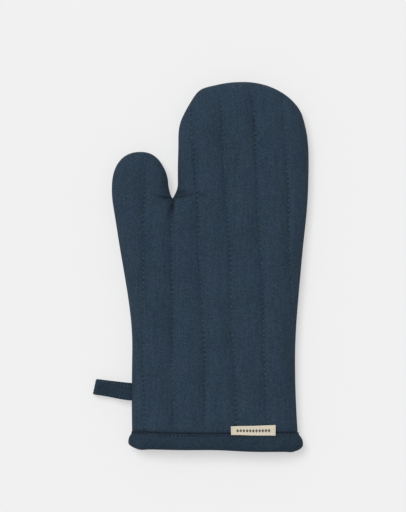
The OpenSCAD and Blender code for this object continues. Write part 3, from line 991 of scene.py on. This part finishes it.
def panel_shell(side, part):
    """One part of one panel's cloth: outer faces, inner faces turned over, and five-sided wall faces."""
    cut, bodies, bend = PARTS[part]
    outer, marks, uv = fine[side]
    outer_normals = side * normals_of(outer, fine_quads)
    inner_normals = side * normals_of(panels[side], all_quads)
    inner = outer[: len(flat)] - OUTER_THICK * inner_normals
    quads, middles = all_quads[cut], side_middle[cut]
    once = np.bincount(middles.ravel(), minlength=fine_count)[middles] == 1
    a, b, m = quads[once], np.roll(quads, -1, 1)[once], middles[once]
    walls = np.stack([b, m, a, a + fine_count, b + fine_count], 1)
    shown = fine_quads.reshape(-1, 4, 4)[cut].reshape(-1, 4)
    lining_side = quads[:, ::-1] + fine_count
    groups = [shown, lining_side, walls] if side > 0 else [g[:, ::-1] for g in (shown, lining_side, walls)]
    faces = [face for group in groups for face in group]
    zeros = np.zeros(len(flat))
    stacked = {name: np.concatenate([values, zeros]) for name, values in marks.items()}
    faces, points, turned, uv, hole, crease = compact(
        faces,
        np.concatenate([outer, inner]),
        np.concatenate([outer_normals, -inner_normals]),
        np.concatenate([uv, uv[: len(flat)]]),
        stacked["stitch_hole_shade"],
        stacked["crease"],
    )
    name = SIDE_NAMES[side]
    nodes = [f"outer_{name}_{body}" for body in bodies]
    marks = {"stitch_hole_shade": hole, "crease": crease}
    obj = finished(
        f"cloth_{name}_{part}", points, faces, outer_finish, nodes, uv, marks, turned
    )
    return bend(obj)


fine = {side: fine_panel(side) for side in (1, -1)}
cloths = [panel_shell(side, part) for side in (1, -1) for part in PARTS]
print("cloth pieces:", [(o.name, len(o.data.polygons)) for o in cloths])

# %% [markdown]
# ## Batting and lining
#
# Between the cloth and the pocket lie 4 mm of batting and a thin lining. Both are offset surfaces: the
# panel moved inwards along its normals. They are smooth and almost hidden, so they use every second row and
# third column. Each is given by the depths of its two faces below the panel.

# %% Inner layers
LAYERS = {
    "batting": (1.25, 5.2, batting_finish, "batting"),
    "lining": (5.3, 5.9, lining_finish, "lining_fabric"),
}
layer_quads = {
    "main": np.concatenate([quads_of(palm_ids[::2, ::3]), quads_of(finger_ids[::2, ::3])]),
    "thumb": quads_of(thumb_ids[::2, ::3]),
}


def offset_layer(side, depth, pinch):
    """Panel points moved inwards by depth along their normals, and no further than the seam. The rows of
    stitches pinch the batting by up to a millimetre more."""
    inwards = side * normals_of(panels[side], all_quads)
    rows = [bell(flat[:, 0] - quilt_x(row, flat[:, 1]), 2) for row in range(6)]
    points = panels[side] - inwards * depth
    points[:, 2] -= side * pinch * (np.max(rows, 0) + 1.1 * crease_pull(flat))
    points[:, 1] -= 4.5 * np.exp(-(((flat - crotch) / 5) ** 2).sum(1))
    points[:, 2] = side * np.maximum(side * (points[:, 2] - seam_z), SEAM_HALF + 0.02 * (6 - depth)) + seam_z
    return points


def inner_layer(kind, side, part):
    """A closed layer: its outer face, its inner face turned over, and the wall between them."""
    high, low, finish, slot = LAYERS[kind]
    quads = layer_quads[part]
    sides = np.stack([quads, np.roll(quads, -1, 1)], -1).reshape(-1, 2)
    _, which, uses = np.unique(np.sort(sides, 1), axis=0, return_inverse=True, return_counts=True)
    a, b = sides[uses[which.ravel()] == 1].T
    count = len(flat)
    walls = np.stack([b, a, a + count, b + count], 1)
    quads = np.concatenate([quads, quads[:, ::-1] + count, walls])
    points = np.concatenate([offset_layer(side, high, 1.0), offset_layer(side, low, 0.0)])
    uv = np.tile(cloth_lengths(panels[side]), (2, 1))
    faces, points, uv = compact(list(quads if side > 0 else quads[:, ::-1]), points, uv)
    name = SIDE_NAMES[side]
    nodes = [f"{kind}_{name}_{body}" for body in PARTS[part][1]]
    return PARTS[part][2](finished(f"{kind}_layer_{name}_{part}", points, faces, finish, nodes, uv))


layers = {(k, s, p): inner_layer(k, s, p) for k in LAYERS for s in (1, -1) for p in PARTS}
for (kind, side, part), obj in layers.items():
    kind == "batting"
print(len(layers), "inner layers,", sum(len(o.data.polygons) for o in layers.values()), "faces")

# %% [markdown]
# ## Tubes and thread
#
# The seam allowance, the binding, the tape and every stitch are all one idea: a closed outline carried
# along a path. One helper joins such rings into faces, and turns them outwards by the sign of the volume
# that they enclose.


# %% Rings into faces
def ring_faces(count, rings, around, joined=False):
    """Faces for count bundles of rings, each of so many points: quads between neighbouring rings, and a
    flat cap at both ends, or none where the last ring joins the first."""
    ids = np.arange(count * rings * around).reshape(count, rings, around)
    after = np.roll(ids, -1, 1) if joined else ids[:, 1:]
    before = ids if joined else ids[:, :-1]
    quads = np.stack([before, np.roll(before, -1, 2), np.roll(after, -1, 2), after], -1).reshape(-1, 4)
    caps = [] if joined else [ids[:, 0, ::-1], ids[:, -1]]
    return quads, caps


def outwards(points, quads, caps=()):
    """All faces, turned to point out: the sum of p0 . (p1 x p2) over the quads is then positive."""
    p = points[quads]
    one_half = (p[:, 0] * np.cross(p[:, 1], p[:, 2] + p[:, 3])).sum()
    other_half = (p[:, 0] * np.cross(p[:, 2], p[:, 3])).sum()
    faces = [quads, *caps] if one_half + other_half > 0 else [group[:, ::-1] for group in (quads, *caps)]
    return [face for group in faces for face in group]


def outline_strip(chain):
    """A flat tube along part of the outline, 0.4 mm thick, from 0.4 to 5 mm inside it, where the turned-in
    edges of both panels lie. It is wide across the outline's inward normal."""
    ahead = np.gradient(chain, axis=0)
    inward = np.column_stack([ahead[:, 1], -ahead[:, 0]]) / np.linalg.norm(ahead, axis=1)[:, None]
    angle = np.linspace(0, 2 * np.pi, 12, endpoint=False)
    depth = 2.7 + 2.3 * np.sign(np.cos(angle)) * np.abs(np.cos(angle)) ** 0.5
    rings = np.empty((len(chain), 12, 3))
    rings[:, :, :2] = chain[:, None] + inward[:, None] * depth[:, None]
    rings[:, :, 2] = seam_z + 0.2 * np.sin(angle)
    uv = np.stack(np.broadcast_arrays(np.arange(len(chain))[:, None] * 1.8, depth), -1)
    quads, caps = ring_faces(1, len(chain), 12)
    return rings.reshape(-1, 3), outwards(rings.reshape(-1, 3), quads, caps), uv.reshape(-1, 2)


# %% Side seam
outline = flat[outline_ids]
# The strips stop a few points short of the crotch, where all three would meet.
at_fold = PALM_ROWS
at_crotch = int(np.argmax(outline_ids == palm_ids[-1, crotch_column]))
strips = {
    "palm": (outline[: at_fold + 1], ["side_seam_hand"]),
    "fingers": (outline[at_crotch + 3 :], ["side_seam_fingers"]),
    "thumb": (outline[at_fold : at_crotch - 2], ["side_seam_thumb"]),
}
for part, (chain, nodes) in strips.items():
    points, faces, uv = outline_strip(chain)
    seam = finished(f"seam_edge_{part}", points, faces, seam_finish, nodes, uv)
    if part == "palm":
        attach(seam, "hand")
    else:
        (bends_to_thumb if part == "thumb" else bends_to_fingers)(seam)
print("seam strips:", [len(chain) for chain, _ in strips.values()])


# %% Stitches as beads
def beads(middles, across, out, radius):
    """Many short round-ended tubes as one mesh. middles is stitches x steps x 3; each ring is a circle in
    the plane of across and out, and its radius follows (1 - t^4)^(1/2) so that both ends are rounded."""
    count, steps, around = middles.shape[0], middles.shape[1], 6
    t = np.linspace(-0.97, 0.97, steps)
    size = radius * np.sqrt(1 - t**4)[None, :, None, None]
    angle = np.linspace(0, 2 * np.pi, around, endpoint=False)[:, None]
    circle = np.cos(angle) * across[:, None, None] + np.sin(angle) * out[:, None, None]
    points = (middles[:, :, None] + size * circle).reshape(-1, 3)
    run = np.linalg.norm(middles - middles[:, :1], axis=-1)[:, :, None] + 0 * angle[:, 0]
    uv = np.stack(np.broadcast_arrays(run, angle[:, 0] * radius), -1).reshape(-1, 2)
    quads, caps = ring_faces(count, steps, around)
    return points, outwards(points, quads, caps), uv


# %% [markdown]
# ## Quilting stitches
#
# Each stitch is its own little tube of thread, because the light catches their tops one by one. They lie in
# the trench from needle hole to needle hole and dive at both ends. Their height comes from the column of
# held points.

# %% Quilting stitches
STITCH_SHOWN = 2.6
QUILT_THREAD = 0.4
STITCH_STEPS = 7


def column_ids(row):
    """The point numbers of the mesh column that runs along a row, from the cuff up."""
    column = quilt_columns[row]
    above = [thumb_new[:, column]] if row == 0 else [finger_new[:, column - crotch_column]] if row > 1 else []
    return np.concatenate([palm_ids[:, column], *above])


def stitch_centres(side, row):
    """Centre lines of a row's stitches: as high as the row's column, less the trench, plus an arch."""
    ids = column_ids(row)
    first, last = np.ceil((QUILT_STARTS[row] + 2) / STITCH), np.floor((QUILT_TOPS[row] - 4) / STITCH)
    centre = (np.arange(first, last) + 0.5) * STITCH
    t = np.linspace(-1, 1, STITCH_STEPS)
    y = centre[:, None] + t * STITCH_SHOWN / 2
    x = quilt_x(row, y)
    z = np.interp(y, flat[ids, 1], panels[side][ids, 2])
    trench = TRENCH_DEPTH * quilt_needle(y) * row_reach(row, y) * tension(row, y)
    lift = 0.12 - trench + 0.38 * (1 - t**2) - 0.3 * t**4
    return np.stack([x, y, z + side * lift], -1)


stitch_count = 0
for side, name in SIDE_NAMES.items():
    rows = np.concatenate([stitch_centres(side, row) for row in range(6)])
    on_thumb = (rows[:, 0, 0] < crotch[0]) & (rows[:, 0, 1] > fold_line(rows[:, 0, 0]))
    stitch_count += len(rows)
    for part, chosen in (("main", rows[~on_thumb]), ("thumb", rows[on_thumb])):
        across = np.tile([1.0, 0, 0], (len(chosen), 1))
        points, faces, uv = beads(chosen, across, np.tile([0, 0, 1.0], (len(chosen), 1)), QUILT_THREAD)
        nodes = [f"quilt_thread_{name}_{body}" for body in PARTS[part][1]]
        stitches = finished(
            f"stitches_{name}_{part}", points, faces, quilt_thread_finish, nodes, uv
        )
        PARTS[part][2](stitches)
print(stitch_count, "quilting stitches")

# %% [markdown]
# ## The binding
#
# The cuff's raw edge is closed by a strip cut on the bias, folded round it and stitched through. Its
# section is a long U: down the outside, round the fold, up the inside, and back against the layers it
# clasps. That section is carried round the cuff, which is a flattened tube. At both side folds the strip
# bulges, since it has to turn there.

# %% Round the cuff
CORNER_STEPS, STRAIGHT_STEPS = 16, 130
turn = np.linspace(0, np.pi / 2, CORNER_STEPS, endpoint=False)
whole = np.full(STRAIGHT_STEPS, np.pi / 2)
share = np.linspace(0, 1, STRAIGHT_STEPS, endpoint=False)
ring_turn = np.concatenate([turn, whole, turn[::-1] + turn[1], turn, whole, turn[::-1] + turn[1]])
front_share = np.concatenate([0 * turn, share, 0 * turn + 1])
ring_share = np.concatenate([front_share, 1 - front_share])
ring_face = np.repeat([1.0, -1.0], len(front_share))
ring_hand = np.where(ring_share < 0.5, -1, 1)


def cuff_ring(y, grow, bulge):
    """Points round the cuff at height y, grown outwards: four quarter ellipses, flat in between."""
    radius = np.where(ring_face > 0, FRONT_ROUND, BACK_ROUND) + grow
    left, right = thumb_side(y) - grow - bulge, far_side(y) + grow + bulge
    flat_x = left + radius + (right - left - 2 * radius) * ring_share
    x = flat_x + ring_hand * radius * np.cos(ring_turn)
    z = seam_z + ring_face * (thickness / 2 - BIND_THICK + grow) * np.sin(ring_turn)
    return np.stack([x, y + 0 * x, z], -1)


# %% Binding section
# Each pair is a height above the cuff's lower edge, and how far out from the cuff's own surface.
outside = [(19.0, 0.0), (19.3, 0.45), (19.15, 0.9), (18.75, 1.12), (18.25, 1.05), (17.85, 0.88), (17.5, 0.8)]
outside += [(17.1, 0.88), (16.5, 1.05), (15.2, 1.22), (13.6, 1.36), (11.6, 1.46), (9.4, 1.5), (7.2, 1.44)]
outside += [(5.2, 1.25), (3.4, 0.9), (2.0, 0.4), (1.3, -0.05), (0.75, -0.6), (0.35, -1.2), (0.1, -1.9)]
outside += [(0.0, -2.6)]
inside = [(0.0, -3.4), (0.2, -4.6), (0.8, -5.8), (2.0, -6.6), (4.5, -7.0), (9.0, -7.1), (14.0, -7.05)]
inside += [(17.5, -7.0), (18.8, -6.8), (19.0, -6.4), (18.6, -6.05), (17.0, -5.97)]
clasp = [(9.0, -5.97), (3.0, -5.9), (1.5, -5.2), (1.0, -3.0), (1.3, -0.9), (2.4, -0.1), (9.0, 0.02)]
clasp += [(17.0, 0.02)]
section = np.array(outside + inside + clasp)
STITCH_LINE, STITCH_LINE_Y = 6, 17.5
CUFF_STITCH = 3.6


def side_bulge(y):
    """How far the fold swells at the cuff's sides, and how the bottom corner rounds it in again."""
    corner = 9.5 * (1 - np.sqrt(1 - np.clip((8 - y) / 8, 0, 1) ** 2))
    return 2.4 * smooth((19.5 - y) / 8) - corner


def cuff_strip():
    """The binding's points, ring by section, with its hole marks and its lengths along the bias. The strip
    puckers under each stitch, hangs a little slack between, and drifts as it was sewn."""
    outer = section[:, 1] > -1.5
    bulges = np.where(outer, side_bulge(section[:, 0]), np.minimum(side_bulge(section[:, 0]), 0))
    rings = [cuff_ring(y, grow, bulge) for (y, grow), bulge in zip(section, bulges)]
    grid = np.stack(rings, 1)
    around = run_along(cuff_ring(17.0, 0.9, 0.0)[:, None], 0, 0)
    x, y = grid[..., 0], grid[..., 1]
    pull = bell(y - STITCH_LINE_Y, 0.75) * (0.3 + 0.7 * needle_wave(around, CUFF_STITCH)) * outer
    pucker = bell(y - 15.2, 2.6) * np.sin(2 * np.pi * around / CUFF_STITCH + 0.5 * y) * outer
    slack = np.sin(around / 8.5 + 0.25 * y) + 0.6 * np.sin(around / 4.7 - 0.3 * y + 1)
    rise = 0.1 * pucker + 0.16 * slack * smooth(y / 4) * smooth((18.5 - y) / 3) * outer - 0.45 * pull
    grid[..., 2] += ring_face[:, None] * rise * np.sin(ring_turn)[:, None]
    grid[..., 0] += ring_hand[:, None] * rise * np.cos(ring_turn)[:, None]
    grid[..., 1] += cuff_drift(x, y)
    grid[..., 2] = np.maximum(grid[..., 2], TABLE_GAP)
    length = run_along(grid[:1], 1, 0)
    turned = np.stack(np.broadcast_arrays(around + length, around - length), -1) * 0.7071
    return grid, pull, turned


strip, strip_pull, strip_uv = cuff_strip()
quads = ring_faces(1, len(strip), len(section), joined=True)[0]
points = strip.reshape(-1, 3)
# Painted shade: the strip's needle holes and the top of its fold are darkened in its colour.
marks = {"stitch_hole_shade": np.clip(strip_pull * 1.5 - 0.5, 0, 1).ravel()}
marks["crease"] = np.clip(0.7 * (strip[..., 1] > 18.6) * (section[:, 1] > -0.5), 0, 1).ravel()
binding = finished(
    "folded_binding", points, outwards(points, quads), binding_finish, ["cuff_binding"],
    strip_uv.reshape(-1, 2), marks,
)
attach(binding, "hand")
print("binding:", strip.shape, "from", points.min(0).round(1), "to", points.max(0).round(1))

# %% [markdown]
# ## Stitching round the cuff
#
# One line of stitches goes right round, a little under two millimetres below the strip's edge. The beads
# follow the strip's own stitch line, halfway between its needle holes.


# %% Cuff stitches
def along_line(line, at):
    """Points at the given lengths along a closed or open line."""
    run = run_along(line, 0, 0)
    return np.stack([np.interp(at, run, values) for values in line.T], -1)


def stitches_along(line, out_of, pitch, shown, radius, lift, dive):
    """Beads along a line at every pitch, each shown over that length. out_of gives the outward direction at
    each point of a line, by which a bead's middle is lifted and its ends dive."""
    total = run_along(line, 0, 0)[-1]
    centre = (np.arange(int(total / pitch)) + 0.5) * pitch
    t = np.linspace(-1, 1, STITCH_STEPS)
    middles = along_line(line, centre[:, None] + t * shown / 2)
    out = out_of(along_line(line, centre))
    middles = middles + out[:, None] * (lift * (1 - t**2) - dive * t**4)[:, None]
    ahead = middles[:, -1] - middles[:, 0]
    across = np.cross(ahead, out)
    across /= np.linalg.norm(across, axis=1, keepdims=True)
    return beads(middles, across, out, radius)


def joined(bundles):
    """Several bundles of beads as one: their points, their faces renumbered, and their cloth lengths."""
    points, faces, uv = zip(*bundles)
    starts = np.cumsum([0] + [len(own) for own in points])
    renumbered = [face + start for own, start in zip(faces, starts) for face in own]
    return np.concatenate(points), renumbered, np.concatenate(uv)


def out_of_cuff(points):
    """Outwards from the cuff's tube: mostly up or down, and sideways over the last 20 mm each side."""
    x, z = points[:, 0], (points[:, 2] - seam_z) / (thickness / 2)
    side = np.sign(x) * np.clip((np.abs(x) - 58) / 20, 0, 1) ** 3
    out = np.stack([side, 0 * x, np.sign(z) * np.abs(z) ** 0.5], -1)
    return out / np.linalg.norm(out, axis=1, keepdims=True)


seam_line = np.concatenate([strip[:, STITCH_LINE], strip[:1, STITCH_LINE]])
points, faces, uv = stitches_along(
    seam_line, out_of_cuff, pitch=CUFF_STITCH, shown=2.2, radius=0.34, lift=0.2, dive=0.3
)
points[:, 2] = np.maximum(points[:, 2], TABLE_GAP)
cuff_stitches = finished("cuff_stitches", points, faces, cuff_thread_finish, ["cuff_thread"], uv)
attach(cuff_stitches, "hand")
print("cuff stitches:", len(faces), "faces")

# %% [markdown]
# ## The woven label
#
# The label is a scrap of cream satin ribbon laid over the strip's edge. It is stitched at both ends, and
# its upper edge curls a little proud and throws a thin shadow. Its woven figure here is a plain chain
# of lozenges.

# %% Label finish
LABEL_LONG, LABEL_HIGH = label_hi[0] - label_lo[0], label_hi[1] - label_lo[1]
LOZENGE, LOZENGES = 2.85, 11


def label_satin():
    """Cream satin with slanting floats, and a chain of lozenges, solid where |across| + |up| is small."""
    material, tree, shader = new_finish("cream_label_satin", {"Sheen Weight": 0.1, "Specular IOR Level": 0.4})
    across, up = lengths(tree)
    satin = (across + 2.0 * up).wave(0.5)
    specks = spots(tree, across, up, 0.35, 1.6, 2.2, 3.0)
    ground = (0.5 + 0.3 * satin + 0.8 * specks).clamped().mix(rgb(0.70, 0.63, 0.485), rgb(0.89, 0.82, 0.665))
    beside = (across - LABEL_LONG / 2).math_of("ABSOLUTE").math_of("PINGPONG", LOZENGE / 2)
    above = (up - LABEL_HIGH * 0.48).math_of("ABSOLUTE")
    lozenge = above * (1 / 1.95) + beside * (1 / 1.4)
    solid = ((1.05 - lozenge) * 6.0).clamped()
    middle = (across - LABEL_LONG / 2).math_of("ABSOLUTE")
    figure = solid * middle.math_of("LESS_THAN", LOZENGES / 2 * LOZENGE)
    (0.92 * figure).mix(ground, rgb(0.045, 0.042, 0.035)).into(shader, "Base Color")
    (0.62 - 0.12 * satin).into(shader, "Roughness")
    height = satin + 1.5 * figure
    tree.node("Bump", {"Height": height, "Strength": 0.35, "Distance": 0.0002}).into(shader, "Normal")
    return material


# %% Label piece
LABEL_THICK = 0.45
LABEL_SHIFT, LABEL_BOTTOM, LABEL_TOP = -0.8, 17.3, 25.2
under = fine[1][0]
beside = np.abs(under[:, 0] - label_lo[0] - LABEL_LONG / 2) < LABEL_LONG / 2
near = beside & (under[:, 1] > 19) & (under[:, 1] < 26)
strip_top = strip[..., 2].max()
label_rest = max(strip_top, under[near, 2].max()) + 0.15
print("label rests at", round(label_rest, 2), "mm, strip's top", round(strip_top, 2))


def label_sheet():
    """A patch cut a little out of square: its lower edge falls and its upper edge rises to the right. It
    curls up a little towards its upper edge and thins at its rim."""
    u, v = np.meshgrid(np.linspace(0, 1, 82), np.linspace(0, 1, 20), indexing="ij")
    x = label_lo[0] + LABEL_SHIFT + LABEL_LONG * u - 0.25 * v * (1 - u) + 0.15 * v * u
    bottom, top = LABEL_BOTTOM - 0.7 * u, LABEL_TOP + 1.2 * u
    y = bottom + (top - bottom) * v + 0.08 * np.sin(9 * u)
    z = label_rest + 0.6 * v**2 + 0.4 * v * u**3 + 0.06 * np.sin(7 * u + 3 * v)
    from_rim = np.minimum(np.minimum(u, 1 - u) * LABEL_LONG, np.minimum(v, 1 - v) * LABEL_HIGH)
    rim = 1 - from_rim.clip(0, 0.4) / 0.4
    lift = np.stack([z + LABEL_THICK * (1 - 0.35 * rim**2), z + LABEL_THICK * 0.35 * rim**2], -1)
    sheet = np.stack(np.broadcast_arrays(x[..., None], y[..., None], lift), -1)
    return sheet, np.stack([u * LABEL_LONG, v * LABEL_HIGH], -1)


sheet, sheet_uv = label_sheet()
ids = np.arange(sheet[:, :, 0, 0].size).reshape(sheet.shape[:2])
count = ids.size
rim_ids = np.concatenate([ids[:-1, 0], ids[-1, :-1], ids[:0:-1, -1], ids[0, :0:-1]])
walls = np.stack([np.roll(rim_ids, -1), rim_ids, rim_ids + count, np.roll(rim_ids, -1) + count], -1)
label_quads = np.concatenate([quads_of(ids.T), quads_of(ids.T)[:, ::-1] + count, walls])
points = np.concatenate([sheet[:, :, 0].reshape(-1, 3), sheet[:, :, 1].reshape(-1, 3)])
label = finished(
    "label_patch", points, outwards(points, label_quads), label_satin(), ["woven_label"],
    np.tile(sheet_uv.reshape(-1, 2), (2, 1)),
)
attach(label, "hand")

# %% Label stitches
end_lines = [sheet[k, 2:-2, 0] for k in (3, -4)]


def straight_up(points):
    """Upwards, at each point of a line."""
    return np.tile([0, 0, 1.0], (len(points), 1))


end_rows = [
    stitches_along(line, straight_up, pitch=1.5, shown=1.1, radius=0.16, lift=0.1, dive=0.2)
    for line in end_lines
]
points, faces, uv = joined(end_rows)
label_stitches = finished(
    "label_stitches", points, faces, label_thread_finish, ["label_thread"], uv
)
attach(label_stitches, "hand")
print("label:", len(label.data.polygons), "faces, with", len(label_stitches.data.polygons), "in its stitches")

# %% [markdown]
# ## The hanging loop
#
# A length of folded tape, edge-stitched, has both its ends caught in the side seam. Its own stiffness opens
# it to a teardrop, and it droops from the seam until its outer part lies on the table. The tape's flat
# section is carried along that teardrop. It bends where it leaves the seam.

# %% Loop path
LOOP_WIDE, LOOP_THICK, LOOP_Y, LOOP_LEAN = 14.5, 1.3, 56.4, np.radians(6.6)
LOOP_LONG, LOOP_EXTRA, LOOP_CAUGHT = 35.0, 1.6, 8.5
LOOP_EYE, ROOT_GAP, LANDS_AT = 6.4, 0.4, 0.72
loop_round = LOOP_EYE / 2 + LOOP_THICK
loop_shift = LOOP_WIDE / 2 * np.sin(LOOP_LEAN)
loop_root = float(thumb_side(LOOP_Y)) - LOOP_THICK - ROOT_GAP - loop_shift
loop_run = LOOP_LONG + LOOP_EXTRA - loop_round - LOOP_THICK - ROOT_GAP - loop_shift
loop_drop = np.arcsin((seam_z - loop_round) / loop_run)


def loop_side_view():
    """Centre line of the tape seen from the side, out and up from the root, with half its thickness. Each
    leg spreads as a smooth step from a touching root to the fold's radius; the fold is a half circle."""
    bend = loop_round - LOOP_THICK / 2
    out = np.linspace(-LOOP_CAUGHT, loop_run, 60)
    touching = 0.22 + (LOOP_THICK / 2 - 0.2) * smooth((out + 3.2) / 4)
    spread_by = touching + (bend - LOOP_THICK / 2) * smooth(out / loop_run) ** 0.8
    angle = np.linspace(np.pi / 2, -np.pi / 2, 26)[1:-1]
    fold = np.stack([loop_run + bend * np.cos(angle), bend * np.sin(angle)], -1)
    upper = np.stack([out, spread_by], -1)
    path = np.concatenate([upper, fold, upper[::-1] * [1, -1]])
    half = np.interp(path[:, 0], [-3.5, 0.5], [0.2, LOOP_THICK / 2])
    return path, half


def loop_to_draft(out, wide, up):
    """From the loop's own axes to the draft: sagged as a smooth step until its outer part lies on the
    table, with its fold askew, then leaned up the mitt and put at its root. It is level in the seam."""
    sag = (seam_z - loop_round) * smooth(out / (LANDS_AT * loop_run))
    askew = 0.1 * wide * smooth(out / loop_run) ** 2
    along = np.where(out > 0, out * np.cos(loop_drop) + askew, out)
    height = seam_z - sag + up
    x = loop_root - along * np.cos(LOOP_LEAN) - wide * np.sin(LOOP_LEAN)
    y = LOOP_Y + along * np.sin(LOOP_LEAN) - wide * np.cos(LOOP_LEAN)
    return np.stack([x, y, np.maximum(height, TABLE_GAP)], -1)


# %% Loop tape
loop_path, loop_half = loop_side_view()
EDGE_STITCH = LOOP_WIDE / 2 - 1.7
face_share = np.sin(np.linspace(-np.pi / 2, np.pi / 2, 25))
tape_share = np.concatenate([face_share, face_share[-2:0:-1]])
tape_face = np.repeat([1.0, -1.0], [25, 23])
ahead = np.gradient(loop_path, axis=0)
loop_out = np.stack([-ahead[:, 1], ahead[:, 0]], -1) / np.linalg.norm(ahead, axis=1)[:, None]
loop_length = run_along(loop_path, 0, 0)
LOOP_STITCH = 3.3


def tape_points():
    """The tape: its thickness across is (1 - |v|^8)^(1/2), less a trench along each row of stitches."""
    v = tape_share[None]
    taper = 1.1 - 0.12 * smooth(loop_path[:, :1] / loop_run)
    wide = v * LOOP_WIDE / 2 * taper + 0.25 * np.sin(loop_length / 9)[:, None]
    trench = bell(np.abs(v) * LOOP_WIDE / 2 - EDGE_STITCH, 0.6)
    needle = 0.4 + 0.6 * needle_wave(loop_length, LOOP_STITCH)[:, None]
    thick = loop_half[:, None] * np.sqrt(1 - 0.93 * np.abs(v) ** 8) - 0.24 * trench * needle
    thick = np.maximum(thick, 0.05) * tape_face
    side = loop_path[:, None] + loop_out[:, None] * thick[..., None]
    uv = np.stack(np.broadcast_arrays(wide, loop_length[:, None]), -1)
    return loop_to_draft(side[..., 0], wide, side[..., 1]), trench * needle * (tape_face > 0), uv


tape, tape_pull, tape_uv = tape_points()
quads, caps = ring_faces(1, *tape.shape[:2])
points = tape.reshape(-1, 3)
# Painted shade: the tape's needle holes are darkened in its colour.
marks = {"stitch_hole_shade": np.clip(tape_pull * 1.3 - 0.5, 0, 1).ravel()}
loop = finished(
    "loop_tape", points, outwards(points, quads, caps), tape_finish,
    ["hanging_loop", "loop_ends"], tape_uv.reshape(-1, 2), marks,
)
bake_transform(loop)
print("loop tape from", points.min(0).round(1), "to", points.max(0).round(1))

# %% Loop stitches
shown = loop_path[:, 0] > 1.0
on_tape = (loop_path + loop_out * (loop_half[:, None] - 0.1))[shown]
above = (loop_path + loop_out * 2)[shown]


def edge_stitches(edge):
    """The row of stitches along one edge of the tape: -1 is the edge by the fingers, 1 the other."""
    wide = edge * EDGE_STITCH + 0 * on_tape[:, 0]
    line = loop_to_draft(on_tape[:, 0], wide, on_tape[:, 1])
    away = loop_to_draft(above[:, 0], wide, above[:, 1]) - line

    def out_of_tape(points):
        """The direction away from the tape at the nearest point of its stitch line."""
        nearest = np.linalg.norm(points[:, None] - line, axis=-1).argmin(1)
        return away[nearest] / np.linalg.norm(away[nearest], axis=1, keepdims=True)

    return stitches_along(line, out_of_tape, pitch=LOOP_STITCH, shown=2.1, radius=0.32, lift=0.22, dive=0.25)


points, faces, uv = joined([edge_stitches(edge) for edge in (-1, 1)])
points[:, 2] = np.maximum(points[:, 2], TABLE_GAP)
loop_stitches = finished("loop_stitches", points, faces, quilt_thread_finish, ["loop_thread"], uv)
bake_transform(loop_stitches)
print("loop stitches:", len(loop_stitches.data.polygons), "faces")

# %% [markdown]
# ## Table, light and camera
#
# The mitt lies on a pale table and is seen from straight above. A wide soft light beyond the fingertips, a
# little to the thumb's side, throws a short soft shadow towards the cuff. A pale world fills the rest, so
# dark cloth keeps its shape without hard highlights. The table glows faintly, like a light table, which
# keeps the shadow pale.

# %% Table
TABLE_GLOW, WORLD_GLOW = 0.505, 0.38
bpy.ops.mesh.primitive_plane_add(size=8)
table = bpy.context.object
table.name = "table"
table_finish, tree, shader = new_finish(
    "pale_table", {"Specular IOR Level": 0.0, "Emission Color": rgb(1, 1, 1), "Emission Strength": TABLE_GLOW}
)
place = tree.node("TexCoord", {}, "Object")
grain = tree.node("TexNoise", {"Vector": place, "Scale": 60.0, "Detail": 2.0})
grain.mix(rgb(0.405, 0.405, 0.405), rgb(0.415, 0.415, 0.415)).into(shader, "Base Color")
(0.8 + 0.1 * grain).into(shader, "Roughness")
table.data.materials.append(table_finish)

# %% Light
TO_WINDOW = Vector((-0.33, 0.42, 1.0))
world = bpy.data.worlds.new("studio")
world.use_nodes = True
sky = world.node_tree.nodes["Background"]
sky.inputs["Color"].default_value = rgb(1, 1, 1)
sky.inputs["Strength"].default_value = WORLD_GLOW
bpy.context.scene.world = world
window = bpy.data.objects.new("window", bpy.data.lights.new("window", "SUN"))
window.data.energy, window.data.angle = 1.9, np.radians(32)
window.rotation_euler = TO_WINDOW.to_track_quat("Z", "Y").to_euler()
bpy.context.scene.collection.objects.link(window)

# %% Camera
CAMERA_UP, FRAME_TALL = 2.4, 0.4692
FRAME_CENTRE = [-11.9, 180.5, 12.0]
camera = bpy.data.objects.new("camera", bpy.data.cameras.new("camera"))
camera.data.lens = 36 * CAMERA_UP / FRAME_TALL
camera.location = to_metres(FRAME_CENTRE) + np.array([0, 0, CAMERA_UP])
bpy.context.scene.collection.objects.link(camera)
bpy.context.scene.camera = camera
bpy.context.scene.view_settings.view_transform = "Standard"
